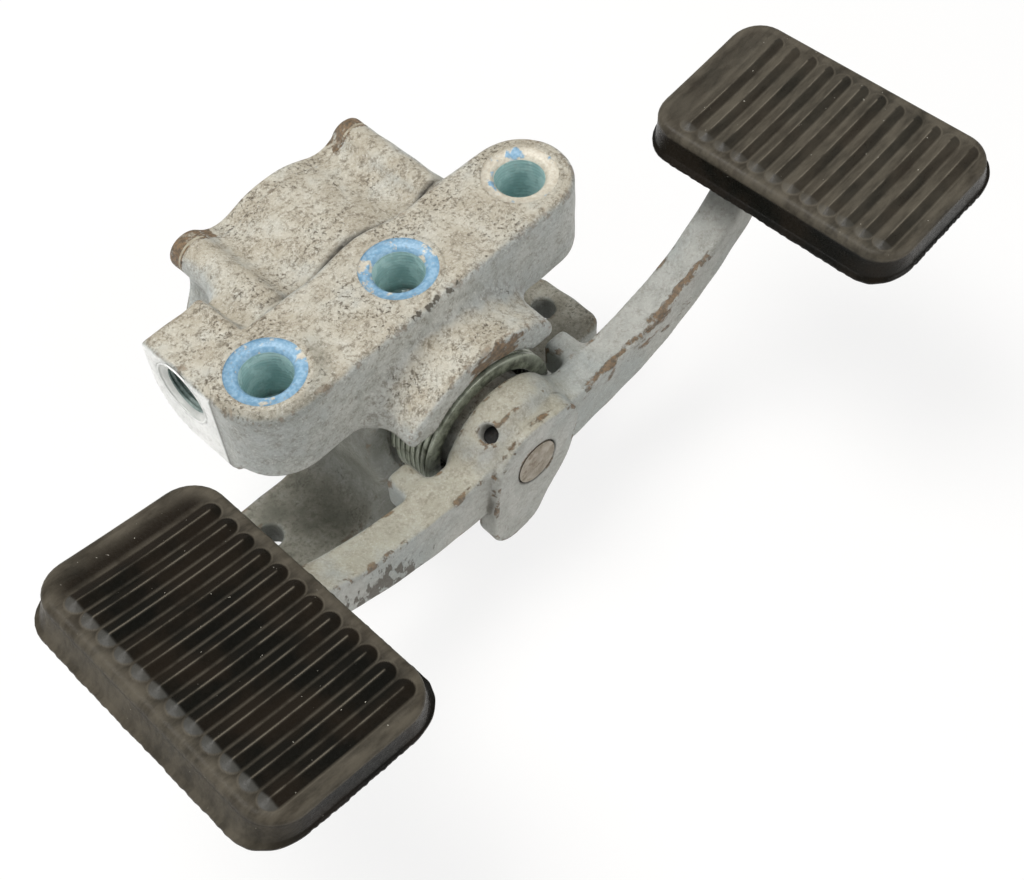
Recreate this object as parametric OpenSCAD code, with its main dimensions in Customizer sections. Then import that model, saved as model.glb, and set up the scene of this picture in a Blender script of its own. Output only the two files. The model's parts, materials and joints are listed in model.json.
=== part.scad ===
// Foot pedal air valve: a rocking two-pad lever turns a rotary plate valve in a cast body.
// Millimetres. X runs along the row of ports, Y to the back, Z up.
// The origin is on the underside of the base, midway between the two foot holes.

/* [Manifold and ports] */
// Distance between neighbouring top ports
port_spacing = 54; // [50:1:60]
// Diameter of the threaded port wall
port_d = 16.8; // [13:0.2:18]
// Depth of the left port, whose passage leaves at middle height
left_port_depth = 22; // [21:0.5:23]
// Depth of the middle port, whose passage leaves highest
middle_port_depth = 19; // [17:0.5:20]
// Depth of the right port, whose passage leaves lowest
right_port_depth = 25; // [24:0.5:25.5]
// Depth of the side port
side_port_depth = 16; // [13:0.5:17]
// Diameter of the flat machined round each port
spotface_d = 25.2; // [22:0.2:28]
// Depth of that flat below the cast face
spotface_depth = 0.6; // [0.3:0.1:1.2]
// Width of the lead-in chamfer of a port
port_chamfer = 1.2; // [0.6:0.1:1.6]
// Front to back width of the manifold, which has round ends
manifold_w = 36; // [33:1:40]
// Thickness of the manifold
manifold_t = 31; // [28:1:34]
// Height of the manifold's top face above the floor
manifold_top = 95; // [92:1:100]
// Rounding of the manifold's edges
manifold_round = 3; // [1:0.5:5]
// Distance of the port row in front of the foot hole line
port_setback = 4; // [2:0.5:6]
// Height of the side port below the manifold's top
side_port_drop = 13; // [12:0.5:15]
// Distance of the side port behind the port row
side_port_back = 21.5; // [20:0.5:23]
// Half width of the block that carries the side port
side_block_r = 17.5; // [16:0.5:18]
// Radius of the cored air passages
passage_r = 5; // [4:0.5:5.5]

/* [Drum and chamber] */
// Height of the pivot axis above the floor
axis_h = 46; // [45:0.5:48]
// Outer radius of the valve drum
drum_r = 44.5; // [42:0.5:45]
// Length of the drum behind the manifold
drum_len = 41; // [38:1:46]
// Radius of the valve chamber
chamber_r = 34; // [32:0.5:36]
// Depth of the chamber's front wall behind the manifold's back face
chamber_setback = 2; // [1:0.5:4]
// Sideways distance of a cover screw from the axis
ear_x = 34.5; // [33:0.5:36]
// Height of a cover screw above or below the axis
ear_z = 38.7; // [36:0.1:38.8]
// Radius of a screw ear
ear_r = 7; // [6.6:0.1:7.2]
// Radius of the neck under the manifold
neck_r = 36; // [34:0.5:38]

/* [Base] */
// Distance between the two foot holes
foot_hole_spacing = 135; // [130:1:140]
// Diameter of a foot hole
foot_hole_d = 9.5; // [7:0.5:11]
// Reach of the base past the middle of each hole
foot_end = 11.5; // [9.5:0.5:14]
// Reach of the base in front of the hole line
foot_front = 21; // [18:0.5:22]
// Reach of the base behind the hole line
foot_back = 15; // [13:0.5:17]
// Thickness of the base
foot_t = 12.5; // [10:0.5:14]
// Corner radius of the base
foot_corner_r = 7; // [4:0.5:10]

/* [Hood and spring] */
// Radius of the hood's arched top
hood_r = 48; // [46:0.5:52]
// Height of the hood's crown above the axis
hood_crown = 35.8; // [34.5:0.1:37]
// Bore of the hood over the spring
hood_bore_r = 28.2; // [28:0.1:29]
// Reach of the hood in front of the manifold
hood_reach = 18; // [16:0.5:18.5]
// Half width of the hood
hood_half_w = 32; // [30:0.5:33]
// Height of the hood's ends above the axis
hood_end_rise = 18.4; // [18.3:0.1:20]
// Rounding of the hood's front edge
hood_edge = 2.2; // [1:0.1:3]
// Hollow fillet between hood and manifold
hood_fillet = 6; // [3:0.5:8]
// Outer radius of the centring spring
coil_r = 27.3; // [26.5:0.1:27.6]
// Radial width of the spring wire
coil_wire_w = 5.6; // [4.5:0.1:6]
// Thickness of the spring wire along the axis
coil_wire_t = 1.9; // [1.6:0.1:2]
// Distance between turns
coil_pitch = 2.25; // [2.2:0.05:2.4]
// Number of turns
coil_turns = 7; // [5:1:7]
// Radius of the spring's end prongs
prong_r = 1.6; // [1.2:0.1:1.8]
// Length of the nose that carries the shaft and the spring
spigot_len = 20.5; // [20:0.5:22]
// Radius of that nose
spigot_r = 18.5; // [17:0.5:20]

/* [Shaft] */
// Radius of the pivot shaft
shaft_r = 8; // [7:0.1:8.5]
// Wall of a bush
bush_wall = 2.5; // [1.5:0.1:3]
// Length of each bush
bush_len = 16; // [12:1:18]
// Running clearance on the radius
run_fit = 0.04; // [0.02:0.01:0.08]
// Seating clearance of fixed pieces
seat_fit = 0.02; // [0.01:0.01:0.05]
// Width of the square that drives the rotor
drive_w = 10.5; // [9:0.1:11]
// Thickness of the thrust washer
thrust_t = 0.8; // [0.5:0.1:1.2]
// End float of the lever
end_float = 0.1; // [0.05:0.05:0.3]
// Thickness of the shaft seal ring
seal_d = 3; // [2.4:0.1:3.2]
// Thickness of the shaft clip
clip_t = 1.2; // [0.8:0.1:1.5]

/* [Lever] */
// Radius of the hub's back
hub_r = 22.8; // [21.5:0.1:23.2]
// Length of the hub along the shaft
hub_len = 18.3; // [17:0.1:20]
// Radius of the boss at the shaft's end
boss_r = 17.4; // [16:0.1:18]
// Half height of an arm at the hub
arm_root_h = 11; // [9:0.5:12]
// Half height of an arm at its tip
arm_tip_h = 4.6; // [4:0.2:6]
// Half thickness of an arm front to back
arm_half_t = 6.6; // [5.5:0.1:7]
// Sideways distance of a stop lug from the axis
lug_x = 36; // [35:0.5:38]
// Width of a stop lug
lug_w = 10; // [8:0.5:11]
// Height of a stop lug above the axis
lug_rise = 9; // [7:0.5:9.2]
// Reach of a stop lug behind the arm
lug_reach = 10; // [8:0.5:11]
// Diameter of the pin that locks the lever to the shaft
pin_d = 5.9; // [4.5:0.1:6]
// Lean of that pin from upright
pin_lean = 32; // [25:1:40]

/* [Pads] */
// Sideways distance of a pad's centre from the axis
pad_x = 120.5; // [118:0.5:123]
// Height of a pad's plate above the floor
plate_h = 104; // [102:0.5:106]
// Distance of a pad's centre in front of the hole line
pad_front = 71.1; // [68:0.1:74]
// Outward rise of a pad in degrees
pad_tilt = 8.4; // [4:0.1:10]
// Width of a plate
plate_w = 47; // [44:0.5:49]
// Length of a plate
plate_len = 89; // [86:0.5:90]
// Thickness of a plate
plate_t = 4; // [3:0.5:5]
// Corner radius of a plate
plate_corner_r = 8; // [6:0.5:10]
// Width of a pad's top
pad_w = 55.6; // [54:0.1:58]
// Length of a pad's top
pad_len = 96.4; // [95:0.1:100]
// Corner radius of a pad's top
pad_corner_r = 11; // [9:0.5:13]
// Thickness of rubber above the plate
pad_top_t = 5.4; // [4.8:0.1:6.5]
// Depth of the lip below the plate
pad_lip_t = 1.6; // [1.3:0.1:2.4]
// Flare of the skirt at the foot of its long sides
pad_flare = 3; // [1.5:0.1:3.5]
// Flare of the skirt at the foot of its ends
pad_end_flare = 0.6; // [0.2:0.1:1.5]
// Rounding of the pad's top edge
pad_round = 2.4; // [1.5:0.1:3]
// Sag of the tread between its long edges
tread_sag = 1; // [0.6:0.1:1.4]
// Number of tread ribs
rib_count = 12; // [10:1:12]
// Distance between tread ribs
rib_pitch = 6.8; // [6.7:0.1:7]
// Width of a tread rib at its foot
rib_w = 6.4; // [5.6:0.1:6.6]
// Height of a tread rib
rib_h = 1.3; // [0.8:0.1:1.8]
// Length of a tread rib between its round ends
rib_len = 41.8; // [36:0.1:43]
// Shift of the row of ribs towards the pad's front end
rib_shift = 3.3; // [2:0.1:3.6]
// Clearance of the rubber round the plate
pad_fit = 0.15; // [0.1:0.05:0.3]

/* [Valve plate] */
// Thickness of the seat plate
seat_t = 6; // [5:0.5:8]
// Thickness of the rotor
rotor_t = 10; // [8:0.5:11]
// Radius of the rotor
rotor_r = 30; // [28:0.5:31]
// Radius of the circle of valve ports
valve_port_circle = 20; // [18:0.5:21]
// Angle between valve ports
valve_port_angle = 60; // [52:1:64]
// Diameter of a dowel in the seat plate
dowel_d = 4; // [3:0.5:5]
// Thickness of a seat seal ring
seat_seal_d = 2; // [1.6:0.1:2.4]
// Mean radius of the rotor spring
rotor_coil_r = 15; // [14:0.5:17]
// Wire diameter of the rotor spring
rotor_wire_d = 2.6; // [2:0.1:3]
// Number of turns of the rotor spring
rotor_coil_turns = 4; // [3:0.5:5]
// Thickness of the spring's backing ring
backing_t = 1.5; // [1:0.1:2]

/* [Cover] */
// Thickness of the rear cover
cover_t = 4.6; // [4.2:0.1:7]
// Thickness of the cover gasket
gasket_t = 0.8; // [0.5:0.1:1.2]
// Diameter of a cover screw
screw_d = 6.35; // [5.5:0.05:6.5]
// Length of a cover screw with its head
screw_len = 24; // [20:1:28]
// Diameter of a countersunk screw head
screw_head_d = 11; // [10.4:0.1:11.3]
// Thickness of the cup washer under a head
washer_t = 0.6; // [0.4:0.05:0.7]
// Width of the slot in a screw head
slot_w = 1.6; // [1.2:0.1:2]
// Depth of that slot
slot_depth = 1.2; // [0.8:0.1:1.6]

/* [Hidden] */
$fn = 72;

// Thin overlap that joins or clears pieces of one casting
weld = 0.5;
// Roundness of swept sections
section_points = 24;

// Stations along Y, front to back
port_y = -port_setback;
front_y = port_y - manifold_w / 2;
back_y = port_y + manifold_w / 2;
spigot_y = front_y - spigot_len;
hub_back_y = spigot_y - thrust_t - end_float;
boss_y = hub_back_y - hub_len;
hood_y = front_y - hood_reach;
chamber_y = back_y + chamber_setback;
cover_seat_y = back_y + drum_len;
cover_y = cover_seat_y + gasket_t;
cover_back_y = cover_y + cover_t;
seat_front_y = chamber_y + seat_fit;
rotor_y = seat_front_y + seat_t + run_fit;
rotor_back_y = rotor_y + rotor_t;
backing_y = cover_y - backing_t - seat_fit;
pin_y = hub_back_y - hub_len * 0.46;

// Port places
port_r = port_d / 2;
port_xs = [-port_spacing, 0, port_spacing];
port_depths = [left_port_depth, middle_port_depth, right_port_depth];
manifold_r = manifold_w / 2;
manifold_half = port_spacing + manifold_r;
manifold_base = manifold_top - manifold_t;
side_face_x = -manifold_half;
side_port_y = port_y + side_port_back;
side_port_z = manifold_top - side_port_drop;
valve_port_angles = [90 + valve_port_angle, 90, 90 - valve_port_angle];

// Lever stations: an arm follows a curve of four handles from the hub to its plate
arm_y = hub_back_y - 1.8 - arm_half_t;
arm_path = [
    [0, axis_h], [51.5, axis_h - 6.2], [pad_x - 22.5, axis_h + 6.7], [pad_x + 4.7, plate_h - plate_t / 2]
];
arm_steps = 18;

// Cover fastenings: countersunk heads in cup washers, flush with the cover
ears = [for (sx = [-1, 1], sz = [-1, 1]) [sx * ear_x, axis_h + sz * ear_z]];
screw_r = screw_d / 2;
screw_head_r = screw_head_d / 2;
screw_clear = 0.3;
screw_hole_r = screw_r + screw_clear;
cup_r = screw_head_r + washer_t * sqrt(2);

// Base
foot_len = foot_hole_spacing + 2 * foot_end;

// Small shapes shared by several pieces

// Drawing in X and Z carried along Y
module along_y(from, to) {
    translate([0, to, 0]) rotate([90, 0, 0]) linear_extrude(to - from) children();
}

// Profile of radius and Y turned about the pivot axis
module about_axis() {
    translate([0, 0, axis_h]) rotate([-90, 0, 0]) rotate_extrude() children();
}

// Round bar along Y
module bar_y(x, z, r, from, to) {
    translate([x, from, z]) rotate([-90, 0, 0]) cylinder(h = to - from, r = r);
}

// Ring about the pivot axis
module ring_y(outer, inner, from, to) {
    difference() {
        bar_y(0, axis_h, outer, from, to);
        bar_y(0, axis_h, inner, from - 1, to + 1);
    }
}

// Round passage between two points, with a slightly larger ball at its far end
module passage(a, b, r) {
    d = b - a;
    flat = norm([d.x, d.y]);
    translate(a) rotate([0, atan2(flat, d.z), atan2(d.y, d.x)]) cylinder(h = norm(d), r = r);
    translate(b) sphere(r * 1.04);
}

module rounded_rect(w, l, r) {
    square([w - 2 * r, l], center = true);
    square([w, l - 2 * r], center = true);
    for (sx = [-1, 1], sy = [-1, 1]) translate([sx * (w / 2 - r), sy * (l / 2 - r)]) circle(r);
}

// Two circles joined by a straight band that stays just inside their common tangents
module blended_circles(a, ra, b, rb) {
    d = b - a;
    lean = atan2(d.y, d.x);
    turn = acos((ra - rb) / norm(d));
    inset = 0.985;
    translate(a) circle(ra);
    translate(b) circle(rb);
    polygon([
        a + ra * inset * [cos(lean + turn), sin(lean + turn)],
        b + rb * inset * [cos(lean + turn), sin(lean + turn)],
        b + rb * inset * [cos(lean - turn), sin(lean - turn)],
        a + ra * inset * [cos(lean - turn), sin(lean - turn)]
    ]);
}

// Skin over a row of rings that have the same number of points
module loft(rings) {
    n = len(rings[0]);
    m = len(rings);
    last = (m - 1) * n;
    polyhedron(
        points = [for (ring = rings) each ring],
        faces = concat(
            [for (i = [1:n - 2]) [0, i, i + 1]],
            [for (k = [0:m - 2], i = [0:n - 1]) [k * n + i, (k + 1) * n + i, k * n + (i + 1) % n]],
            [for (k = [0:m - 2], i = [0:n - 1])
                [k * n + (i + 1) % n, (k + 1) * n + i, (k + 1) * n + (i + 1) % n]],
            [for (i = [1:n - 2]) [last, last + i + 1, last + i]]
        )
    );
}

// Valve body

// Slab with round ends and rounded edges
module manifold() {
    r = manifold_r;
    e = manifold_round;
    module section() {
        translate([-r, manifold_base + e]) square([2 * r, manifold_t - 2 * e]);
        translate([-r + e, manifold_base]) square([2 * (r - e), manifold_t]);
        for (x = [-r + e, r - e], z = [manifold_base + e, manifold_top - e]) translate([x, z]) circle(e);
    }
    translate([0, port_y, 0]) {
        translate([-port_spacing, 0, 0]) rotate([90, 0, 90]) linear_extrude(2 * port_spacing) section();
        for (x = [-port_spacing, port_spacing]) translate([x, 0, 0]) rotate_extrude() intersection() {
            section();
            square([r, manifold_top + 1]);
        }
    }
}

// Round drum with full length screw ears
module drum_outline() {
    translate([0, axis_h]) circle(drum_r);
    for (ear = ears) {
        d = ear - [0, axis_h];
        translate(ear) circle(ear_r);
        translate([0, axis_h]) rotate(atan2(d.y, d.x)) translate([0, -ear_r]) square([norm(d), 2 * ear_r]);
    }
}

// Block of the side port: square on top and round below
module side_block() {
    z = manifold_top - 1 - side_block_r;
    difference() {
        translate([side_face_x, side_port_y, 0]) rotate([90, 0, 90]) linear_extrude(manifold_half - 25) {
            translate([0, z]) circle(side_block_r);
            translate([-side_block_r, z]) square([2 * side_block_r, side_block_r]);
        }
        // Bevel along the top of the machined face
        translate([side_face_x, side_port_y, manifold_top - 1]) rotate([90, 0, 0])
            linear_extrude(3 * side_block_r, center = true) polygon([[-1, 1], [3, 1], [-1, -3]]);
    }
}

// Arched hood over the spring, with a hollow fillet against the manifold
module hood() {
    arch_z = axis_h + hood_crown - hood_r;
    difference() {
        intersection() {
            translate([0, 0, arch_z]) rotate([-90, 0, 0]) rotate_extrude() {
                translate([0, hood_y + hood_edge]) square([hood_r, hood_reach - hood_edge + weld]);
                translate([0, hood_y]) square([hood_r - hood_edge, hood_reach]);
                translate([hood_r - hood_edge, hood_y + hood_edge]) circle(hood_edge);
                difference() {
                    translate([hood_r - weld, front_y - hood_fillet])
                        square([hood_fillet + weld, hood_fillet + weld]);
                    translate([hood_r + hood_fillet, front_y - hood_fillet]) circle(hood_fillet);
                }
            }
            translate([-hood_half_w, hood_y - 1, axis_h + hood_end_rise])
                cube([2 * hood_half_w, hood_reach + 2, hood_r]);
        }
        bar_y(0, axis_h, hood_bore_r, hood_y - 1, front_y);
    }
}

// Foot plate and the pedestal that carries the drum
module base() {
    mid_y = (foot_back - foot_front) / 2;
    foot_w = foot_front + foot_back;
    difference() {
        union() {
            translate([0, mid_y, 0]) linear_extrude(foot_t) rounded_rect(foot_len, foot_w, foot_corner_r);
            along_y(-foot_front, back_y + weld) polygon([
                [-neck_r - 8, foot_t - weld], [neck_r + 8, foot_t - weld],
                [neck_r, foot_t + 7], [neck_r - 4, axis_h], [4 - neck_r, axis_h], [-neck_r, foot_t + 7]
            ]);
        }
        for (x = [-1, 1]) translate([x * foot_hole_spacing / 2, 0, -1])
            cylinder(h = foot_t + 2, d = foot_hole_d);
    }
}

// Threaded port seen from its mouth: wall, chamfer and spotface along +Z
module port_cut(depth) {
    translate([0, 0, -depth - spotface_depth]) cylinder(h = depth + 1, r = port_r);
    translate([0, 0, -spotface_depth - port_chamfer])
        cylinder(h = port_chamfer + 0.01, r1 = port_r, r2 = port_r + port_chamfer);
    translate([0, 0, -spotface_depth]) cylinder(h = spotface_depth + 1, d = spotface_d);
}

// Cored ways from the ports to the chamber
module passages() {
    for (i = [0:2]) {
        low = manifold_top - port_depths[i] + passage_r;
        a = valve_port_angles[i];
        seat = [valve_port_circle * cos(a), chamber_y, axis_h + valve_port_circle * sin(a)];
        start = [port_xs[i], port_y, low];
        bend = [seat.x, port_y + 6, low];
        passage(start, bend, passage_r);
        passage(bend, seat, passage_r);
    }
    passage([side_face_x + side_port_depth - 1, side_port_y, side_port_z],
        [-chamber_r * 0.55, chamber_y + 22, axis_h + chamber_r * 0.55], passage_r);
}

module valve_body() {
    bush_r = shaft_r + run_fit + bush_wall + seat_fit;
    color([0.66, 0.67, 0.63]) difference() {
        union() {
            manifold();
            along_y(back_y - weld, cover_seat_y) drum_outline();
            bar_y(0, axis_h, neck_r, front_y, back_y);
            bar_y(0, axis_h, spigot_r, spigot_y, front_y + weld);
            side_block();
            hood();
            base();
        }
        for (i = [0:2]) translate([port_xs[i], port_y, manifold_top]) port_cut(port_depths[i]);
        translate([side_face_x, side_port_y, side_port_z]) rotate([0, -90, 0]) port_cut(side_port_depth);
        passages();
        // Chamber, shaft bore and bush seats
        bar_y(0, axis_h, chamber_r, chamber_y, cover_seat_y + 1);
        bar_y(0, axis_h, shaft_r + 1, spigot_y - 1, chamber_y + 1);
        bar_y(0, axis_h, bush_r, spigot_y - 1, spigot_y + bush_len);
        bar_y(0, axis_h, bush_r, inner_bush_y, inner_bush_y + bush_len);
        bar_y(0, axis_h, seal_groove_r, seal_y - seat_fit, chamber_y + 1);
        bar_y(-coil_mean_r, axis_h, prong_r + 0.15, front_y - 1, front_y + prong_depth);
        for (ear = ears) bar_y(ear.x, ear.y, screw_r + seat_fit, cover_seat_y - screw_len, cover_seat_y + 1);
        for (a = dowel_angles) bar_y(dowel_circle * cos(a), axis_h + dowel_circle * sin(a),
            dowel_d / 2 + seat_fit, chamber_y - dowel_depth, chamber_y + 1);
    }
}

// Seats inside the body
inner_bush_y = port_y - 6;
seal_y = inner_bush_y + bush_len;
seal_groove_r = shaft_r + run_fit + seal_d + seat_fit;
clip_y = seal_y + seal_d + 0.4;
coil_mean_r = coil_r - coil_wire_w / 2;
prong_depth = 7;
dowel_angles = [-35, 215];
dowel_circle = 28;
dowel_depth = 6;

// Rear cover and its fastenings

module rear_cover() {
    rim = 3;
    color([0.62, 0.62, 0.57]) difference() {
        union() {
            along_y(cover_y, cover_back_y) drum_outline();
            about_axis() polygon([
                [0, cover_back_y - weld], [chamber_r - 6, cover_back_y - weld],
                [chamber_r - 9, cover_back_y + rim], [0, cover_back_y + rim]
            ]);
        }
        for (ear = ears) bar_y(ear.x, ear.y, screw_hole_r, cover_y - 1, cover_back_y + 1);
        at_ears() translate([0, 0, -1])
            cylinder(h = cup_r - screw_hole_r + 1, r1 = cup_r + 1, r2 = screw_hole_r);
    }
}

// Frame of each cover screw: origin on the cover's back face, Z along the screw towards the front
module at_ears() {
    for (ear = ears) translate([ear.x, cover_back_y, ear.y]) rotate([90, 0, 0]) children();
}

module cover_gasket() {
    color([0.25, 0.23, 0.2]) difference() {
        along_y(cover_seat_y, cover_y) drum_outline();
        bar_y(0, axis_h, chamber_r, cover_seat_y - 1, cover_y + 1);
        for (ear = ears) bar_y(ear.x, ear.y, screw_hole_r, cover_seat_y - 1, cover_y + 1);
    }
}

// Slotted countersunk screws
module cover_screws() {
    color([0.45, 0.42, 0.38]) at_ears() difference() {
        rotate_extrude() polygon([
            [0, 0], [screw_head_r, 0], [screw_r, screw_head_r - screw_r], [screw_r, screw_len], [0, screw_len]
        ]);
        rotate(30) translate([-screw_head_d, -slot_w / 2, -1])
            cube([2 * screw_head_d, slot_w, slot_depth + 1]);
    }
}

// Conical cup washers that fill the countersinks
module cover_washers() {
    inner = screw_head_r + seat_fit;
    outer = cup_r - seat_fit;
    foot_r = screw_r + screw_clear / 2;
    depth = inner - foot_r;
    color([0.5, 0.49, 0.46]) at_ears() rotate_extrude()
        polygon([[inner, 0], [outer, 0], [outer - depth, depth], [foot_r, depth]]);
}

// Valve plate and rotor

module at_valve_ports() {
    for (a = valve_port_angles)
        translate([valve_port_circle * cos(a), 0, axis_h + valve_port_circle * sin(a)]) children();
}

module seat_plate() {
    from = seat_front_y;
    to = seat_front_y + seat_t;
    color([0.72, 0.66, 0.45]) difference() {
        bar_y(0, axis_h, chamber_r - 0.3, from, to);
        bar_y(0, axis_h, shaft_r + 1, from - 1, to + 1);
        at_valve_ports() bar_y(0, 0, passage_r, from - 1, to + 1);
        at_valve_ports() translate([0, from, 0]) rotate([-90, 0, 0])
            cylinder(h = seat_seal_d * 0.9, r = seat_seal_r + seat_seal_d / 2 + seat_fit);
        for (a = dowel_angles) bar_y(dowel_circle * cos(a), axis_h + dowel_circle * sin(a),
            dowel_d / 2 + seat_fit, from - 1, from + dowel_depth * 0.7);
    }
}

seat_seal_r = passage_r + 1.2;

module seat_dowels() {
    color([0.7, 0.7, 0.7]) for (a = dowel_angles)
        bar_y(dowel_circle * cos(a), axis_h + dowel_circle * sin(a), dowel_d / 2,
            chamber_y - dowel_depth + seat_fit, chamber_y + dowel_depth * 0.6);
}

module seat_seals() {
    r = seat_seal_d * 0.9 / 2;
    color([0.08, 0.08, 0.08]) at_valve_ports() translate([0, seat_front_y + r, 0]) rotate([-90, 0, 0])
        rotate_extrude() translate([seat_seal_r, 0]) circle(r, $fn = 32);
}

module rotor() {
    slot_r = passage_r - 0.4;
    pocket_depth = 4;
    color([0.78, 0.7, 0.42]) difference() {
        bar_y(0, axis_h, rotor_r, rotor_y, rotor_back_y);
        translate([0, rotor_y - 1, axis_h]) rotate([-90, 45, 0])
            cylinder(h = rotor_t + 2, d = (drive_w + 2 * run_fit) * sqrt(2), $fn = 4);
        // Exhaust pocket on the sliding face, under the middle port
        for (a = [76:7:104]) rotor_way(a, rotor_y + pocket_depth);
        // Two supply ways that wait outside the side ports
        for (side = [-1, 1]) rotor_way(90 + side * (valve_port_angle + 30), rotor_back_y + 1);
    }
    // Round way from the sliding face, on the circle of valve ports
    module rotor_way(a, to) {
        bar_y(valve_port_circle * cos(a), axis_h + valve_port_circle * sin(a), slot_r, rotor_y - 1, to);
    }
}

// Open helix of round wire between the rotor and its backing ring
module rotor_spring() {
    wire = rotor_wire_d / 2;
    start = rotor_back_y + wire;
    rise = backing_y - 0.05 - wire - start;
    steps = round(rotor_coil_turns * 20);
    color([0.5, 0.5, 0.52]) loft([for (k = [0:steps]) let (a = 360 * rotor_coil_turns * k / steps)
        [for (i = [0:7]) let (b = 45 * i, r = rotor_coil_r + wire * cos(b))
            [r * cos(a), start + rise * k / steps + wire * sin(b), axis_h + r * sin(a)]]]);
}

module spring_backing_ring() {
    half_w = rotor_wire_d + 1;
    color([0.6, 0.6, 0.6])
        ring_y(rotor_coil_r + half_w, rotor_coil_r - half_w, backing_y, backing_y + backing_t);
}

// Shaft and its bearings

module pivot_shaft() {
    tail_y = rotor_back_y - 0.5;
    color([0.6, 0.57, 0.5]) difference() {
        union() {
            bar_y(0, axis_h, shaft_r, boss_y, chamber_y);
            translate([0, chamber_y - weld, axis_h]) rotate([-90, 45, 0])
                cylinder(h = tail_y - chamber_y + weld, d = drive_w * sqrt(2), $fn = 4);
        }
        difference() {
            bar_y(0, axis_h, shaft_r + 1, clip_y, clip_y + clip_t + 0.1);
            bar_y(0, axis_h, clip_inner_r, clip_y - 1, clip_y + clip_t + 1);
        }
        pin_bar(pin_d / 2 + seat_fit, shaft_r + 2);
    }
}

clip_inner_r = shaft_r - 0.8;

// Bar across the axis, leaning to the left
module pin_bar(r, half_len) {
    translate([0, pin_y, axis_h]) rotate([0, -pin_lean, 0]) translate([0, 0, -half_len])
        cylinder(h = 2 * half_len, r = r);
}

module bush(from) {
    inner = shaft_r + run_fit;
    color([0.72, 0.56, 0.3]) ring_y(inner + bush_wall, inner, from, from + bush_len);
}

module front_bush() {
    bush(spigot_y);
}

module inner_bush() {
    bush(inner_bush_y);
}

module shaft_seal() {
    r = seal_d / 2;
    color([0.07, 0.07, 0.07]) about_axis() translate([shaft_r + run_fit + r, seal_y + r]) circle(r, $fn = 32);
}

// Split ring in the shaft's groove
module shaft_clip() {
    color([0.4, 0.4, 0.42]) difference() {
        ring_y(seal_groove_r - 0.4, clip_inner_r + seat_fit, clip_y + 0.05, clip_y + clip_t + 0.05);
        translate([-2, clip_y - 1, axis_h]) cube([4, clip_t + 2, shaft_r + 10]);
    }
}

module thrust_washer() {
    color([0.7, 0.6, 0.35]) ring_y(spigot_r - 1.5, shaft_r + run_fit, spigot_y - thrust_t, spigot_y);
}

// Edge wound spring with a prong at each end: the front one in the lever, the back one in the body
module centring_spring() {
    steps = coil_turns * 36 + 18;
    turn = 360 * coil_turns + 180;
    inner = coil_r - coil_wire_w;
    half = coil_wire_t / 2;
    back = front_y - 0.3 - half;
    length = coil_pitch * turn / 360;
    front = back - length;
    color([0.2, 0.22, 0.18]) {
        loft([for (k = [0:steps]) let (a = turn * k / steps, y = front + length * k / steps)
            [for (p = [[inner, -half], [coil_r, -half], [coil_r, half], [inner, half]])
                [p.x * cos(a), y + p.y, axis_h + p.x * sin(a)]]]);
        bar_y(coil_mean_r, axis_h, prong_r, arm_y + arm_half_t - prong_depth + 1, front + half / 2);
        bar_y(-coil_mean_r, axis_h, prong_r, back - half / 2, front_y + prong_depth - 1);
    }
}

// Rocker lever

function bezier(p, t) =
    pow(1 - t, 3) * p[0] + 3 * t * pow(1 - t, 2) * p[1] + 3 * t * t * (1 - t) * p[2] + pow(t, 3) * p[3];
function bezier_way(p, t) =
    pow(1 - t, 2) * (p[1] - p[0]) + 2 * t * (1 - t) * (p[2] - p[1]) + t * t * (p[3] - p[2]);
function squarish(a, p) = [sign(cos(a)) * pow(abs(cos(a)), p), sign(sin(a)) * pow(abs(sin(a)), p)];

// Arm of rounded oblong section that thins out along its curve
module arm() {
    sharpness = 0.42;
    loft([for (k = [0:arm_steps])
        let (t = 0.06 + 0.94 * k / arm_steps,
            c = bezier(arm_path, t),
            way = bezier_way(arm_path, t),
            w = way / norm(way),
            h = arm_root_h + (arm_tip_h - arm_root_h) * pow(t, 0.9),
            d = arm_half_t + 1.5 * pow(t, 6))
        [for (i = [0:section_points - 1]) let (s = squarish(360 * i / section_points, sharpness))
            [c.x - w.y * h * s.y, arm_y + d * s.x, c.y + w.x * h * s.y]]]);
}

// Frame of the right pad: origin in the middle of the plate's top, Z square to the plate
module at_pad() {
    translate([pad_x, -pad_front, plate_h]) rotate([0, -pad_tilt, 0]) children();
}

module pad_plate(grow) {
    translate([0, 0, -plate_t - grow]) linear_extrude(plate_t + 2 * grow)
        rounded_rect(plate_w + 2 * grow, plate_len + 2 * grow, plate_corner_r + grow);
}

// Boss at the front of the hub, drawn out to a heel at the lower left
module boss_outline() {
    heel = [-8.5, axis_h - 19.7];
    heel_r = 12.2;
    shoulder = [10.5, axis_h + 6.7];
    shoulder_r = 9.2;
    blended_circles([0, axis_h], boss_r, heel, heel_r);
    blended_circles([0, axis_h], boss_r, shoulder, shoulder_r);
}

module stop_lug() {
    r = 3;
    from = arm_y + arm_half_t - 3;
    along_y(from, from + 3 + lug_reach) {
        translate([lug_x - lug_w / 2, axis_h]) square([lug_w, lug_rise - r]);
        translate([lug_x - lug_w / 2 + r, axis_h]) square([lug_w - 2 * r, lug_rise]);
        for (s = [-1, 1]) translate([lug_x + s * (lug_w / 2 - r), axis_h + lug_rise - r]) circle(r);
    }
}

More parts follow.
